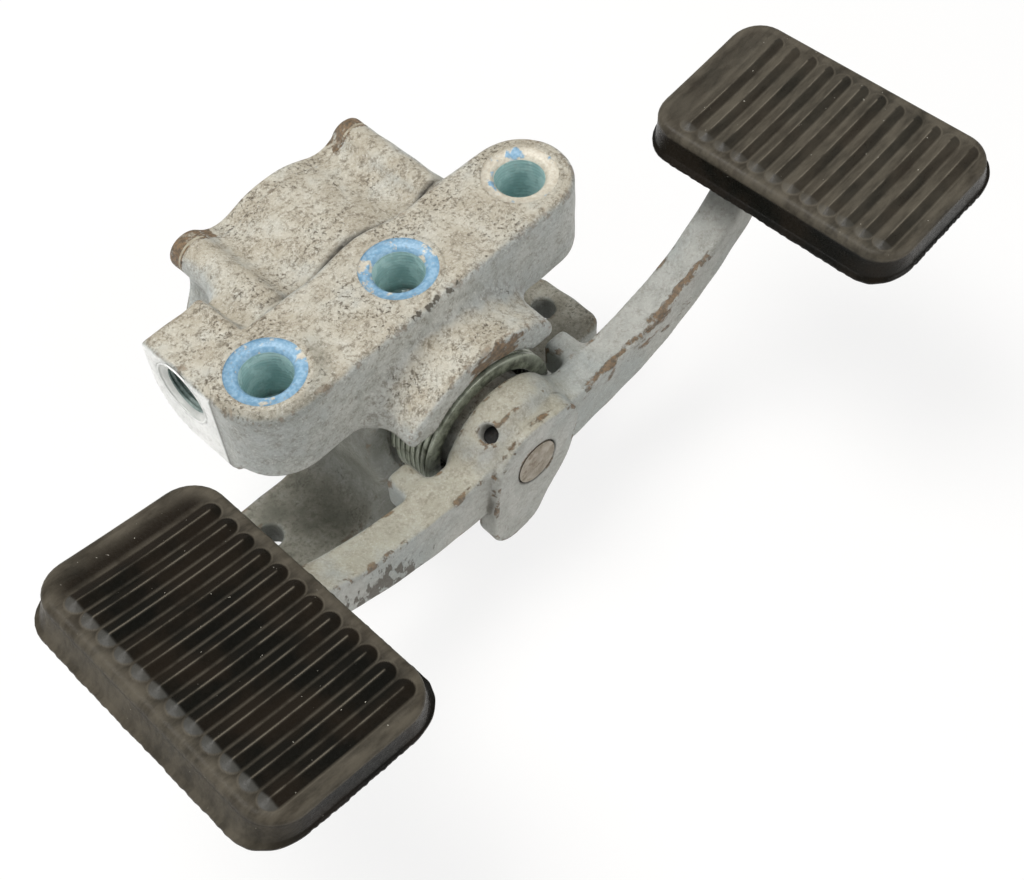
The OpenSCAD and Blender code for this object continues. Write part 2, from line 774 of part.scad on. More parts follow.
module rocker_lever() {
    boss_t = 7;
    color([0.64, 0.66, 0.64]) difference() {
        union() {
            about_axis() polygon([
                [0, hub_back_y], [hub_r - 1, hub_back_y], [hub_r, hub_back_y - 1], [hub_r, hub_back_y - 6],
                [hub_r - 1.2, hub_back_y - 10], [boss_r, boss_y + 3], [boss_r, boss_y + 1], [0, boss_y + 1]
            ]);
            along_y(boss_y, boss_y + boss_t) boss_outline();
            for (side = [0, 1]) mirror([side, 0, 0]) {
                arm();
                stop_lug();
                at_pad() pad_plate(0);
            }
        }
        bar_y(0, axis_h, shaft_r + seat_fit, boss_y - 1, hub_back_y + 1);
        pin_bar(pin_d / 2 + seat_fit, hub_r + 12);
        bar_y(coil_mean_r, axis_h, prong_r + 0.15, arm_y + arm_half_t - prong_depth, hub_back_y + 1);
    }
}

module lever_pin() {
    color([0.45, 0.45, 0.45]) pin_bar(pin_d / 2, hub_r - 5);
}

// Rubber pads

// Rings of a rounded oblong, for a loft through heights
function oblong_ring(w, l, r, z, corner_steps) = [
    for (q = [0:3], i = [0:corner_steps])
        let (a = 90 * q + 90 * i / corner_steps, sx = (q == 0 || q == 3) ? 1 : -1, sy = q < 2 ? 1 : -1)
        [sx * (w / 2 - r) + r * cos(a), sy * (l / 2 - r) + r * sin(a), z]
];

module pad() {
    foot_z = -plate_t - pad_lip_t;
    shoulder_z = pad_top_t - pad_round;
    edge_steps = 4;
    wall_steps = 4;
    bead_t = 1.2;
    bead_out = 0.5;
    wall_z = foot_z + bead_t + 0.1;
    lip_w = 3.5;
    dish_steps = 12;
    // Share of the full flare at a height, and the ring of the skirt there
    function flare_share(z) = pow(max(0, shoulder_z - z) / (shoulder_z - foot_z), 1.5);
    function skirt_ring(z, share, out) = oblong_ring(
        pad_w + 2 * (pad_flare * share + out), pad_len + 2 * (pad_end_flare * share + out),
        pad_corner_r + pad_end_flare * share + out, z, 6);
    bead = [for (z = [foot_z, foot_z + bead_t]) skirt_ring(z, 1, bead_out)];
    wall = [for (k = [0:wall_steps]) let (z = wall_z + (shoulder_z - wall_z) * k / wall_steps)
        skirt_ring(z, flare_share(z), 0)];
    edge = [for (k = [1:edge_steps]) let (a = 90 * k / edge_steps)
        skirt_ring(shoulder_z + pad_round * sin(a), 0, pad_round * (cos(a) - 1))];
    difference() {
        loft(concat(bead, wall, edge));
        // Dish across the width
        rotate([90, 0, 0]) linear_extrude(pad_len + 2, center = true) polygon(concat(
            [for (k = [0:dish_steps]) let (x = pad_w * (k / dish_steps - 0.5)) [x, tread_z(x)]],
            [[pad_w / 2, pad_top_t + 1], [-pad_w / 2, pad_top_t + 1]]
        ));
        pad_plate(pad_fit);
        translate([0, 0, foot_z - 1]) linear_extrude(pad_lip_t + 2)
            rounded_rect(plate_w - 2 * lip_w, plate_len - 2 * lip_w, plate_corner_r - lip_w);
    }
    for (i = [0:rib_count - 1])
        translate([0, rib_pitch * (i - (rib_count - 1) / 2) - rib_shift, 0]) rib();
}

// Height of the dished tread between the ribs
function tread_z(x) = pad_top_t - tread_sag * (1 - pow(2 * x / pad_w, 2));

// Rib of triangular section that follows the dish, runs out in half cones and is rooted below the tread
module rib() {
    root = 0.3;
    grow = (rib_h + root) / rib_h;
    half = rib_w / 2 * grow;
    reach = rib_len / 2;
    end_angles = [15, 40, 65, 90];
    // Section at x, at an angle round the end's cone
    function section(x, a) = let (b = half * sin(a), z = tread_z(x) - root)
        [[x, -b, z], [x, b, z], [x, 0, z + rib_h * grow * (1 - cos(a))]];
    loft(concat(
        [for (a = end_angles) section(-reach - half * cos(a), a)],
        [for (x = [-reach / 2, 0, reach / 2]) section(x, 90)],
        [for (k = [len(end_angles) - 1:-1:0]) section(reach + half * cos(end_angles[k]), end_angles[k])]
    ));
}

module left_pad() {
    color([0.09, 0.08, 0.07]) mirror([1, 0, 0]) at_pad() pad();
}

module right_pad() {
    color([0.09, 0.08, 0.07]) at_pad() pad();
}

valve_body();
rear_cover();
cover_gasket();
cover_screws();
cover_washers();
seat_plate();
seat_dowels();
seat_seals();
rotor();
rotor_spring();
spring_backing_ring();
pivot_shaft();
front_bush();
inner_bush();
shaft_seal();
shaft_clip();
thrust_washer();
centring_spring();
rocker_lever();
lever_pin();
left_pad();
right_pad();
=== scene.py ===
# Foot pedal air valve: castings, tread pads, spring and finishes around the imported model.
# Shapes are worked out in millimetres in the model's own frame and stored in metres.

import json
import math

import bpy
import numpy as np
from mathutils import Matrix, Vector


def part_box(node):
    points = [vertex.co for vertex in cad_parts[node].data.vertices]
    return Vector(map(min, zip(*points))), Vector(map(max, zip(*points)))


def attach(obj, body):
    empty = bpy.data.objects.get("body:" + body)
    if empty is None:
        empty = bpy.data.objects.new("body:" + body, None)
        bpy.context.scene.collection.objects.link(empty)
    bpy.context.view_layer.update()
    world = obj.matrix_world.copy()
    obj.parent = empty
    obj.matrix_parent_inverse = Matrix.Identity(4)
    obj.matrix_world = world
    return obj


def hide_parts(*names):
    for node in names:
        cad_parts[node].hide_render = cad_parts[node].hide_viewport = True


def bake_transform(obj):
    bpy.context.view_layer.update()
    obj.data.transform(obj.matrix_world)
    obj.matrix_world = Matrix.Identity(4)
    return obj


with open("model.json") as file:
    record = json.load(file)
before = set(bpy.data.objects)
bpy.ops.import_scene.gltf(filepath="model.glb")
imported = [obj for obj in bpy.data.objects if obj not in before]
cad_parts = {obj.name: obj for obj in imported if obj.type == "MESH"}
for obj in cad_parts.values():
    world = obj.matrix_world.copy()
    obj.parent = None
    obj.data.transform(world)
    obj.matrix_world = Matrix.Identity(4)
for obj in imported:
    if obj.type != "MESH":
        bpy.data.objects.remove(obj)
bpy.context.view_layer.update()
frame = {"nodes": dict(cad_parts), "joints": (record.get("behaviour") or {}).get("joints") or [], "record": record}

MM = 0.001
TURN = 2 * math.pi
mounts = {mount["name"]: mount for mount in frame["record"]["mounts"]}


def node_box(name):
    """Lowest and highest corner of a node in millimetres."""
    return [np.array(corner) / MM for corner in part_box(name)]


# Sizes in millimetres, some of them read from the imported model

body_lo, body_hi = node_box("valve_body")
cover_lo, cover_hi = node_box("rear_cover")
lever_lo, lever_hi = node_box("rocker_lever")
spring_lo, spring_hi = node_box("centring_spring")
pad_lo, pad_hi = node_box("right_pad")
gasket_lo = node_box("cover_gasket")[0]
washer_hi = node_box("cover_washers")[1]
shaft_lo = node_box("pivot_shaft")[0]
seat_lo = node_box("seat_plate")[0]
bush_hi = node_box("front_bush")[1]

hinge = frame["joints"][0]["pos_m"]
AXIS_Z = hinge[2] / MM
HUB_BACK_Y = hinge[1] / MM

# Manifold and its ports
TOP_PORTS = ["left_port", "middle_port", "right_port"]
PORT_R = mounts["middle_port"]["dims"]["r_mm"]
PORT_Y = mounts["middle_port"]["pos_m"][1] / MM
PORT_SPACING = mounts["right_port"]["pos_m"][0] / MM
MANIFOLD_R = 18.0
MANIFOLD_TOP = body_hi[2]
MANIFOLD_T = 31.0
MANIFOLD_ROUND = 3.0
FRONT_Y = PORT_Y - MANIFOLD_R
BACK_Y = PORT_Y + MANIFOLD_R
SPOTFACE_R = 12.6
SPOTFACE_DEPTH = 0.6
PORT_CHAMFER = 1.2
THREAD_PITCH = 1.41
LINER_ROOM = 1.4
RIM_DEPTH = 2.2

# Swelling of the manifold's back edge, a hump less a hollow: height, middle and width of each
BACK_HUMP = (2.6, -2, 12)
BACK_HOLLOW = (0.7, 19, 7)

# Joint line behind the manifold: a shallow groove with a painted shadow along it
CRACK_GAP = 2.9
CRACK_W = 1.3
CRACK_DEPTH = 0.7
CRACK_FOOT_Z = 74
CRACK_END_X = 40

# Block of the side port
SIDE_FACE_X = -PORT_SPACING - MANIFOLD_R
SIDE_Y, SIDE_Z = (mounts["side_port"]["pos_m"][i] / MM for i in (1, 2))
SIDE_BLOCK_R = 17.5
SIDE_BLOCK_TOP = MANIFOLD_TOP - 1
SIDE_BLOCK_END = -50.0
SIDE_BLOCK_FRONT = PORT_Y - 2.5
SIDE_BLOCK_BACK = SIDE_Y + SIDE_BLOCK_R - 1.5
SIDE_TOP_CORNER = 2.0
SIDE_FRONT_CORNER = 9.0
SIDE_BACK_CORNER = SIDE_BLOCK_R - 1
SIDE_BEVEL = 1.0
SIDE_SPOTFACE_R = 10.6
SIDE_ROOM_DEPTH = 18
PLANED_FRONT_Y = PORT_Y + 5.5

# Drum, chamber and cover
DRUM_R = 44.5
DRUM_END_Y = gasket_lo[1]
CHAMBER_R = 34.0
CHAMBER_Y = seat_lo[1]
CUP_R = 6.35
EAR_R = 7.0
EAR_FILLET = 9
EAR_X = washer_hi[0] - CUP_R
EAR_RISE = washer_hi[2] - CUP_R - AXIS_Z
SCREW_R = 3.2
SCREW_DEPTH = 26
COVER_RIM = 3.0
COVER_LAP = 0.9
COVER_LAP_W = 1.2
COVER_GRID_LEAD = 3
NECK_R = 36.0

# Base
FOOT_HALF_X = body_hi[0]
FOOT_FRONT_Y = -21.0
FOOT_BACK_Y = 15.0
FOOT_MID_Y = (FOOT_FRONT_Y + FOOT_BACK_Y) / 2
FOOT_HALF_Y = (FOOT_BACK_Y - FOOT_FRONT_Y) / 2
FOOT_T = 12.5
FOOT_CORNER = 7.0
FOOT_HOLE_X = mounts["foot_holes"]["dims"]["spacing_x_mm"] / 2
FOOT_HOLE_R = mounts["foot_holes"]["dims"]["hole_r_mm"]
PEDESTAL_HALF_X = NECK_R - 4
PEDESTAL_SPREAD = 12
PEDESTAL_FADE = 7

# Hood over the spring
HOOD_R = 48.0
HOOD_CROWN = 35.8
HOOD_HALF_X = 32.0
HOOD_END_RISE = 18.4
HOOD_BORE_R = 28.2
HOOD_Y = -40.0
SPIGOT_R = 18.5

# Fillets where pedestal, neck, drum, side block, manifold and hood join the body in turn
BODY_FILLETS = (5, 6, 5, 19, 1.6, 9)

# Height of the sand mould's unevenness
BODY_RIPPLE = 0.17
COVER_RIPPLE = 0.12
LEVER_RIPPLE = 0.16

# Lever
HUB_R = 22.8
BOSS_R = 17.4
BOSS_Y = shaft_lo[1]
BOSS_T = 7.0
SHAFT_R = 8.0
SHAFT_GAP = 0.35
HEEL = (-8.5, AXIS_Z - 19.7, 12.2)
SHOULDER = (10.5, AXIS_Z + 6.7, 9.2)
ARM_HALF_T = 6.6
ARM_Y = HUB_BACK_Y - 1.8 - ARM_HALF_T
ARM_FRONT_Y = ARM_Y - ARM_HALF_T
ARM_ROOT_H = 11.0
ARM_TIP_H = 4.6
ARM_ROUND = 1.6
PIN_R = 2.95
PIN_Y = -51.8
PIN_LEAN = math.radians(32)
LUG_X = 36.0
LUG_HALF_W = 5.0
LUG_RISE = 9.0
LUG_BACK_Y = ARM_Y + ARM_HALF_T + 10

# Pads, each in a frame on the middle of its plate's top
PAD_X = 120.5
PAD_Y = (pad_lo[1] + pad_hi[1]) / 2
PLATE_Z = 104.0
PAD_TILT = math.radians(8.4)
PLATE_HALF = (23.5, 44.5)
PLATE_T = 4.0
PLATE_CORNER = 8.0
PLATE_PLAY = 0.15
PAD_HALF = np.array([27.8, 48.2])
PAD_CORNER = 11.0
PAD_TOP = 5.4
PAD_FOOT = -5.6
PAD_FLARE = np.array([3.0, 0.6])
PAD_ROUND = 2.4
PAD_LIP_W = 3.5
TREAD_SAG = 1.0
RIBS = 12
RIB_PITCH = 6.8
RIB_HALF = 3.2
RIB_H = 1.3
RIB_REACH = 20.9
RIB_SHIFT = 3.3

# Centring spring
WIRE_W = 5.6
WIRE_T = 1.9
COIL_PITCH = 2.25
COIL_TURNS = 7.5
COIL_SIDES = 16
PRONG_R = 1.6
PRONG_SIDES = 20

# Reach over which a solid's slope and bend are measured
SLOPE_REACH = 0.15
BEND_REACH = 1.0

ARM_PATH = np.array(
    [[0, AXIS_Z], [51.5, AXIS_Z - 6.2], [PAD_X - 22.5, AXIS_Z + 6.7], [PAD_X + 4.7, PLATE_Z - PLATE_T / 2]]
)

# Solids as distances: less than zero inside, in millimetres


def melt(a, b, width):
    """Union of two solids, filled over a width at the inner corner: least distance less a squared overlap."""
    overlap = np.maximum(width - np.abs(a - b), 0) / width
    return np.minimum(a, b) - overlap * overlap * width / 4


def carve(a, b, width):
    """Solid a without solid b, with the rim eased over a width."""
    return -melt(-a, b, width)


def cap(a, b, radius):
    """What lies in both solids, with the edge between them rounded to a radius."""
    u = a + radius
    v = b + radius
    return np.minimum(np.maximum(u, v), 0) + np.hypot(np.maximum(u, 0), np.maximum(v, 0)) - radius


def slab(v, low, high):
    """Distance to the space between two parallel planes."""
    return np.abs(v - (low + high) / 2) - (high - low) / 2


def oblong(u, v, half_u, half_v, corner):
    """Distance to a rectangle with round corners in two coordinates."""
    a = np.abs(u) - half_u + corner
    b = np.abs(v) - half_v + corner
    return np.minimum(np.maximum(a, b), 0) + np.hypot(np.maximum(a, 0), np.maximum(b, 0)) - corner


def rod(u, v, radius):
    """Distance to an endless round bar across two coordinates."""
    return np.hypot(u, v) - radius


def stretched_circle(u, v, a, b):
    """Distance to the outline round two circles of unlike size, each given as u, v and radius."""
    along = np.array([b[0] - a[0], b[1] - a[1]])
    length = np.hypot(*along)
    way = along / length
    lean = (a[2] - b[2]) / length
    rise = math.sqrt(1 - lean * lean)
    s = (u - a[0]) * way[0] + (v - a[1]) * way[1]
    t = np.abs((v - a[1]) * way[0] - (u - a[0]) * way[1])
    turn = s * rise - t * lean
    flank = t * rise + s * lean - a[2]
    near_a = np.hypot(s, t) - a[2]
    near_b = np.hypot(s - length, t) - b[2]
    return np.where(turn < 0, near_a, np.where(turn > length * rise, near_b, flank))


def ripple(x, y, z, height):
    """Unevenness of a sand mould: a sum of a few slow waves in fixed directions."""
    chance = np.random.default_rng(11)
    total = 0.0
    for _ in range(6):
        wave = chance.normal(size=3)
        wave = wave / np.linalg.norm(wave) * TURN / chance.uniform(9, 30)
        total = total + np.sin(wave[0] * x + wave[1] * y + wave[2] * z + chance.uniform(0, TURN))
    return height * total / 2


def near(v, middle, width):
    """One at the middle and fading as a bell over the width."""
    return np.exp(-(((v - middle) / width) ** 2))


def fade(v, start, end):
    """Nought at the start and one at the end, straight between and held beyond. The end may be the lower."""
    return np.clip((v - start) / (end - start), 0, 1)


def drum_outline(x, z):
    """Round drum with four screw ears on radial bars, all run together by wide fillets."""
    u = np.abs(x)
    v = np.abs(z - AXIS_Z)
    reach = np.clip((u * EAR_X + v * EAR_RISE) / (EAR_X**2 + EAR_RISE**2), 0, 1)
    ear = np.hypot(u - reach * EAR_X, v - reach * EAR_RISE) - EAR_R
    return melt(rod(x, z - AXIS_Z, DRUM_R), ear, EAR_FILLET)


def at_ears(x, z, radius):
    """Distance to four endless round bars along the screws of the ears."""
    return rod(np.abs(x) - EAR_X, np.abs(z - AXIS_Z) - EAR_RISE, radius)


def back_swell(x):
    """How far the manifold's back edge stands out over the drum's crown."""
    hump, hump_x, hump_w = BACK_HUMP
    hollow, hollow_x, hollow_w = BACK_HOLLOW
    return hump * near(x, hump_x, hump_w) - hollow * near(x, hollow_x, hollow_w)


def crack(x, y, z):
    """Joint line behind the manifold, its groove and painted shadow: one along the middle, fading out to the
    sides, ends and downward.
    """
    line = near(y, BACK_Y + back_swell(x) + CRACK_GAP, CRACK_W) * fade(z, CRACK_FOOT_Z, CRACK_FOOT_Z + 6)
    return line * fade(x, -CRACK_END_X, 18 - CRACK_END_X) * fade(x, CRACK_END_X, CRACK_END_X - 6)


def port_room(u, v, depth, length, rim_radius):
    """Room for a port's liner: a hole down the port's axis and a shallow wider rim at its mouth."""
    hole = np.maximum(rod(u, v, PORT_R + LINER_ROOM), depth - length)
    rim = np.maximum(rod(u, v, rim_radius), depth - RIM_DEPTH)
    return np.minimum(hole, rim)


def body_solid(x, y, z):
    """The valve body: manifold, side block, drum, neck, hood, nose and base, less bores and chamber."""
    rise = z - AXIS_Z
    swell = back_swell(x) * fade(y, PORT_Y, BACK_Y)
    flat = rod(np.maximum(np.abs(x) - PORT_SPACING, 0), y - PORT_Y - swell, MANIFOLD_R)
    manifold = cap(flat, slab(z, MANIFOLD_TOP - MANIFOLD_T, MANIFOLD_TOP), MANIFOLD_ROUND)

    side_mid = SIDE_BLOCK_TOP - SIDE_BLOCK_R
    side_half = (SIDE_BLOCK_BACK - SIDE_BLOCK_FRONT) / 2
    low_corner = np.where(y < SIDE_Y, SIDE_FRONT_CORNER, SIDE_BACK_CORNER)
    side_corner = np.where(z > side_mid, SIDE_TOP_CORNER, low_corner)
    side_outline = oblong(y - SIDE_BLOCK_BACK + side_half, z - side_mid, side_half, SIDE_BLOCK_R, side_corner)
    side_block = cap(side_outline, slab(x, SIDE_FACE_X, SIDE_BLOCK_END), 1.0)
    bevel = (SIDE_FACE_X - x + z - SIDE_BLOCK_TOP + SIDE_BEVEL) / math.sqrt(2)
    side_block = np.maximum(side_block, bevel)

    drum = cap(drum_outline(x, z), slab(y, BACK_Y - 4, DRUM_END_Y), 0.2)
    neck = cap(rod(x, rise, NECK_R), slab(y, FRONT_Y, BACK_Y), 1.5)

    arch = rod(x, z - (AXIS_Z + HOOD_CROWN - HOOD_R), HOOD_R)
    hood = cap(arch, slab(y, HOOD_Y, FRONT_Y + 3), 2.0)
    hood = cap(hood, np.abs(x) - HOOD_HALF_X, 3.0)
    hood = cap(hood, AXIS_Z + HOOD_END_RISE - z, 1.2)

    foot = oblong(x, y - FOOT_MID_Y, FOOT_HALF_X, FOOT_HALF_Y, FOOT_CORNER)
    foot = cap(foot, slab(z, 0, FOOT_T), 1.6)
    spread = PEDESTAL_SPREAD * np.exp(-np.maximum(z - FOOT_T, 0) / PEDESTAL_FADE)
    flank = np.abs(x) - PEDESTAL_HALF_X - spread
    pedestal = cap(flank * 0.9, slab(y, FOOT_FRONT_Y, BACK_Y + 0.5), 2.0)
    pedestal = cap(pedestal, slab(z, 0, AXIS_Z), 2.0)

    cast = foot
    for solid, fillet in zip((pedestal, neck, drum, side_block, manifold, hood), BODY_FILLETS):
        cast = melt(cast, solid, fillet)
    spring_room = np.maximum(rod(x, rise, HOOD_BORE_R), y - FRONT_Y)
    cast = carve(cast, spring_room, 1.2)
    nose = cap(rod(x, rise, SPIGOT_R), slab(y, body_lo[1], FRONT_Y + 2), 0.8)
    cast = np.minimum(cast, nose)
    beyond_end = np.where(z > AXIS_Z, SIDE_FACE_X - x, -1)
    for beyond_flat in (-z, z - MANIFOLD_TOP, beyond_end):
        cast = np.maximum(cast, beyond_flat)

    # Unevenness fades out towards machined faces and the port rims
    nearest_port = np.abs(np.abs(x) - PORT_SPACING * (np.abs(x) > PORT_SPACING / 2))
    rough = fade(z, 0, 4) * fade(y, DRUM_END_Y - 1, DRUM_END_Y - 5)
    rough = rough * fade(x, SIDE_FACE_X + 1, SIDE_FACE_X + 5)
    rough = rough * fade(np.hypot(nearest_port, y - PORT_Y), 15, 19)
    cast = cast + ripple(x, y, z, BODY_RIPPLE) * rough + CRACK_DEPTH * crack(x, y, z)

    # Bores: the port liners fill the rims of the wider holes
    for name in TOP_PORTS:
        pos = np.array(mounts[name]["pos_m"]) / MM
        length = MANIFOLD_TOP - pos[2] + mounts[name]["dims"]["length_mm"] / 2 + 1.5
        room = port_room(x - pos[0], y - pos[1], MANIFOLD_TOP - z, length, SPOTFACE_R + 0.6)
        cast = np.maximum(cast, -room)
    room = port_room(y - SIDE_Y, z - SIDE_Z, x - SIDE_FACE_X, SIDE_ROOM_DEPTH, SIDE_SPOTFACE_R + 0.4)
    chamber = np.maximum(rod(x, rise, CHAMBER_R), CHAMBER_Y - y)
    shaft_hole = rod(x, rise, bush_hi[0] + 0.05)
    screws = np.maximum(at_ears(x, z, SCREW_R), DRUM_END_Y - SCREW_DEPTH - y)
    for hollow in (room, chamber, shaft_hole, screws):
        cast = np.maximum(cast, -hollow)
    foot_hole = np.maximum(rod(np.abs(x) - FOOT_HOLE_X, y, FOOT_HOLE_R), z - FOOT_T - 8)
    return carve(cast, foot_hole, 1.0)


def cover_solid(x, y, z):
    """Rear cover: the drum's outline as a plate, with a raised middle and four countersunk screw holes."""
    rise = z - AXIS_Z
    back = cover_hi[1] - COVER_RIM
    outline = drum_outline(x, z)
    # The rim reaches over the gasket's edge and closes the groove at the drum's end
    front = np.where(outline > -COVER_LAP_W, DRUM_END_Y - COVER_LAP, cover_lo[1])
    plate = cap(outline, slab(y, front, back), np.where(y > back - 2, 0.9, 0.1))
    raised = cap(rod(x, rise, CHAMBER_R - 7.5), slab(y, cover_lo[1] + 1, cover_hi[1]), 1.2)
    rough = fade(y, cover_lo[1] + 1, cover_lo[1] + 3)
    plate = melt(plate, raised, 2.5) + ripple(x, y, z, COVER_RIPPLE) * rough
    screw = at_ears(x, z, SCREW_R + 0.3)
    cup = (screw + SCREW_R + 0.3 - CUP_R + back - y) / math.sqrt(2)
    return np.maximum(plate, -np.minimum(screw, cup))


def curve_point(t):
    """Point of the arm's centre line: a cubic curve of four handles."""
    t = np.asarray(t)[..., None]
    s = 1 - t
    return s**3 * ARM_PATH[0] + 3 * t * s * s * ARM_PATH[1] + 3 * t * t * s * ARM_PATH[2] + t**3 * ARM_PATH[3]


def curve_way(t):
    """Direction of travel along the arm's centre line, three times the weighted handle differences."""
    t = np.asarray(t)[..., None]
    s = 1 - t
    steps = np.diff(ARM_PATH, axis=0)
    return 3 * (s * s * steps[0] + 2 * t * s * steps[1] + t * t * steps[2])


def arm_solid(u, y, z):
    """Arm of rounded oblong section: nearest place on the centre line, then a rectangle across it."""
    t = np.linspace(0, 1, 49)
    line = curve_point(t)
    place = np.stack(np.broadcast_arrays(u, z), axis=-1)
    gap = np.sum((place[..., None, :] - line) ** 2, axis=-1)
    best = t[np.argmin(gap, axis=-1)]
    for _ in range(2):
        off = place - curve_point(best)
        way = curve_way(best)
        best = np.clip(best + np.sum(off * way, axis=-1) / np.sum(way * way, axis=-1), 0, 1)
    across = np.linalg.norm(place - curve_point(best), axis=-1)
    half_h = ARM_ROOT_H + (ARM_TIP_H - ARM_ROOT_H) * best**1.2
    half_t = ARM_HALF_T + 1.5 * best**6
    return oblong(across, y - ARM_Y, half_h, half_t, ARM_ROUND)


def lever_solid(x, y, z):
    """Rocker lever: turned hub, boss with heel and shoulder, two arms, stop lugs and pad plates."""
    rise = z - AXIS_Z
    u = np.abs(x)
    hub_y = [BOSS_Y + 1, BOSS_Y + 3, HUB_BACK_Y - 10, HUB_BACK_Y - 6, HUB_BACK_Y]
    hub_radius = np.interp(y, hub_y, [BOSS_R, BOSS_R, HUB_R - 1.2, HUB_R, HUB_R])
    hub = cap(rod(x, rise, hub_radius) * 0.9, slab(y, BOSS_Y + 1, HUB_BACK_Y), 1.0)
    disc = (0, AXIS_Z, BOSS_R)
    outline = melt(stretched_circle(x, z, disc, HEEL), stretched_circle(x, z, disc, SHOULDER), 2)
    boss = cap(outline, slab(y, BOSS_Y, BOSS_Y + BOSS_T), 0.7)

    lug = oblong(u - LUG_X, rise - LUG_RISE / 2 + 3, LUG_HALF_W, LUG_RISE / 2 + 3, 3.0)
    lug = cap(lug, slab(y, ARM_Y, LUG_BACK_Y), 1.6)

    tilt_x = (u - PAD_X) * math.cos(PAD_TILT) + (z - PLATE_Z) * math.sin(PAD_TILT)
    tilt_z = (z - PLATE_Z) * math.cos(PAD_TILT) - (u - PAD_X) * math.sin(PAD_TILT)
    plate = oblong(tilt_x, y - PAD_Y, PLATE_HALF[0], PLATE_HALF[1], PLATE_CORNER)
    plate = cap(plate, slab(tilt_z, -PLATE_T, 0), 0.8)

    lever = melt(arm_solid(u, y, z), lug, 3)
    lever = melt(lever, hub, 4)
    lever = melt(lever, boss, 1.2)
    lever = lever + ripple(x, y, z, LEVER_RIPPLE) * fade(y, HUB_BACK_Y - 0.5, HUB_BACK_Y - 3.5)
    # The plate joins the arm from below and keeps its flat top
    lever = np.maximum(melt(lever, plate, 6), tilt_z)
    lever = carve(lever, rod(x, rise, SHAFT_R + SHAFT_GAP), 0.6)
    pin_side = x * math.cos(PIN_LEAN) + rise * math.sin(PIN_LEAN)
    return carve(lever, rod(pin_side, y - PIN_Y, PIN_R), 1.0)


# Meshes


def probe(solid, points, reach):
    """Distance, slope and bend of a solid at points, from its values a small reach away along each axis."""
    here = solid(*points.T)
    slope = np.zeros_like(points)
    bend = np.zeros(len(points))
    for axis in range(3):
        step = np.zeros(3)
        step[axis] = reach
        ahead = solid(*(points + step).T)
        behind = solid(*(points - step).T)
        slope[:, axis] = (ahead - behind) / (2 * reach)
        bend += (ahead + behind - 2 * here) / reach**2
    return here, slope, bend


def skin(solid, low, high, step):
    """Surface where a solid's distance is zero, in millimetres.

    A block of grid points is measured. Each cell that the surface crosses gets one point, the mean of the
    crossings on its edges, and each crossed edge gets one four-sided face of the four cells round it.
    The points then slide along the solid's slope until their distance is zero.
    """
    axes = [np.arange(a, b + step, step) for a, b in zip(low, high)]
    x, y, z = np.meshgrid(*axes, indexing="ij", sparse=True)
    field = np.broadcast_to(solid(x, y, z), [len(a) for a in axes])
    cells = [n - 1 for n in field.shape]
    total = int(np.prod(cells))
    count = np.zeros(total)
    sums = np.zeros((3, total))
    faces = []
    for axis in range(3):
        u = (axis + 1) % 3
        v = (axis + 2) % 3
        first = np.take(field, np.arange(cells[axis]), axis)
        second = np.take(field, np.arange(1, cells[axis] + 1), axis)
        edge = np.argwhere((first < 0) != (second < 0))
        from_value = first[tuple(edge.T)]
        to_value = second[tuple(edge.T)]
        crossing = edge.astype(float)
        crossing[:, axis] += from_value / (from_value - to_value)
        corners = []
        for back_u, back_v in ((1, 1), (0, 1), (0, 0), (1, 0)):
            cell = edge.copy()
            cell[:, u] -= back_u
            cell[:, v] -= back_v
            flat = np.ravel_multi_index(tuple(cell.T), cells)
            corners.append(flat)
            count += np.bincount(flat, minlength=total)
            for k in range(3):
                sums[k] += np.bincount(flat, crossing[:, k], total)
        face = np.stack(corners, axis=1)
        turned = from_value > 0
        face[turned] = face[turned][:, ::-1]
        faces.append(face)
    used = np.flatnonzero(count)
    number = np.zeros(total, int)
    number[used] = np.arange(len(used))
    points = np.array([a[0] for a in axes]) + step * (sums[:, used] / count[used]).T
    for _ in range(2):
        here, slope, _ = probe(solid, points, SLOPE_REACH)
        move = here / np.maximum(np.sum(slope * slope, axis=1), 0.2)
        points = points - slope * np.clip(move, -0.5 * step, 0.5 * step)[:, None]
    return points, number[np.concatenate(faces)]


def piece(name, points, faces, materials, body, nodes=(), marks=None, finish_of_face=None):
    """A finished mesh: points in millimetres, faces as lists, marks as one number per point."""
    mesh = bpy.data.meshes.new(name)
    mesh.from_pydata((points * MM).tolist(), [], faces)
    for material in materials:
        mesh.materials.append(material)
    if finish_of_face is not None:
        mesh.polygons.foreach_set("material_index", np.asarray(finish_of_face, np.int32))
    for mark, values in (marks or {}).items():
        layer = mesh.attributes.new(mark, "FLOAT", "POINT")
        layer.data.foreach_set("value", np.asarray(values, np.float32))
    mesh.shade_smooth()
    mesh.update()
    shown = bpy.data.objects.new(name, mesh)
    bpy.context.scene.collection.objects.link(shown)
    if nodes:
        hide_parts(*nodes)
    if body:
        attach(shown, body)
    return shown


def casting(name, solid, low, high, step, material, body, node, wear):
    """A cast piece: the skin of its solid, with marks for how far it faces up, its bends and its wear."""
    points, faces = skin(solid, np.array(low) - 2 * step, np.array(high) + 2 * step, step)
    _, slope, bend = probe(solid, points, BEND_REACH)
    facing = slope / np.maximum(np.linalg.norm(slope, axis=1, keepdims=True), 1e-6)
    marks = {"up": facing[:, 2], "bend": bend}
    marks.update(wear(*points.T))
    return piece(name, points, faces.tolist(), [material], body, [node], marks)


def ring_faces(rows, around):
    """Faces of a grid that closes round: each row joins the next one, corners in running order."""
    a = np.arange(rows - 1)[:, None] * around
    i = np.arange(around)[None, :]
    j = (i + 1) % around
    return np.stack([a + i, a + j, a + around + j, a + around + i], axis=-1).reshape(-1, 4)


# Finishes


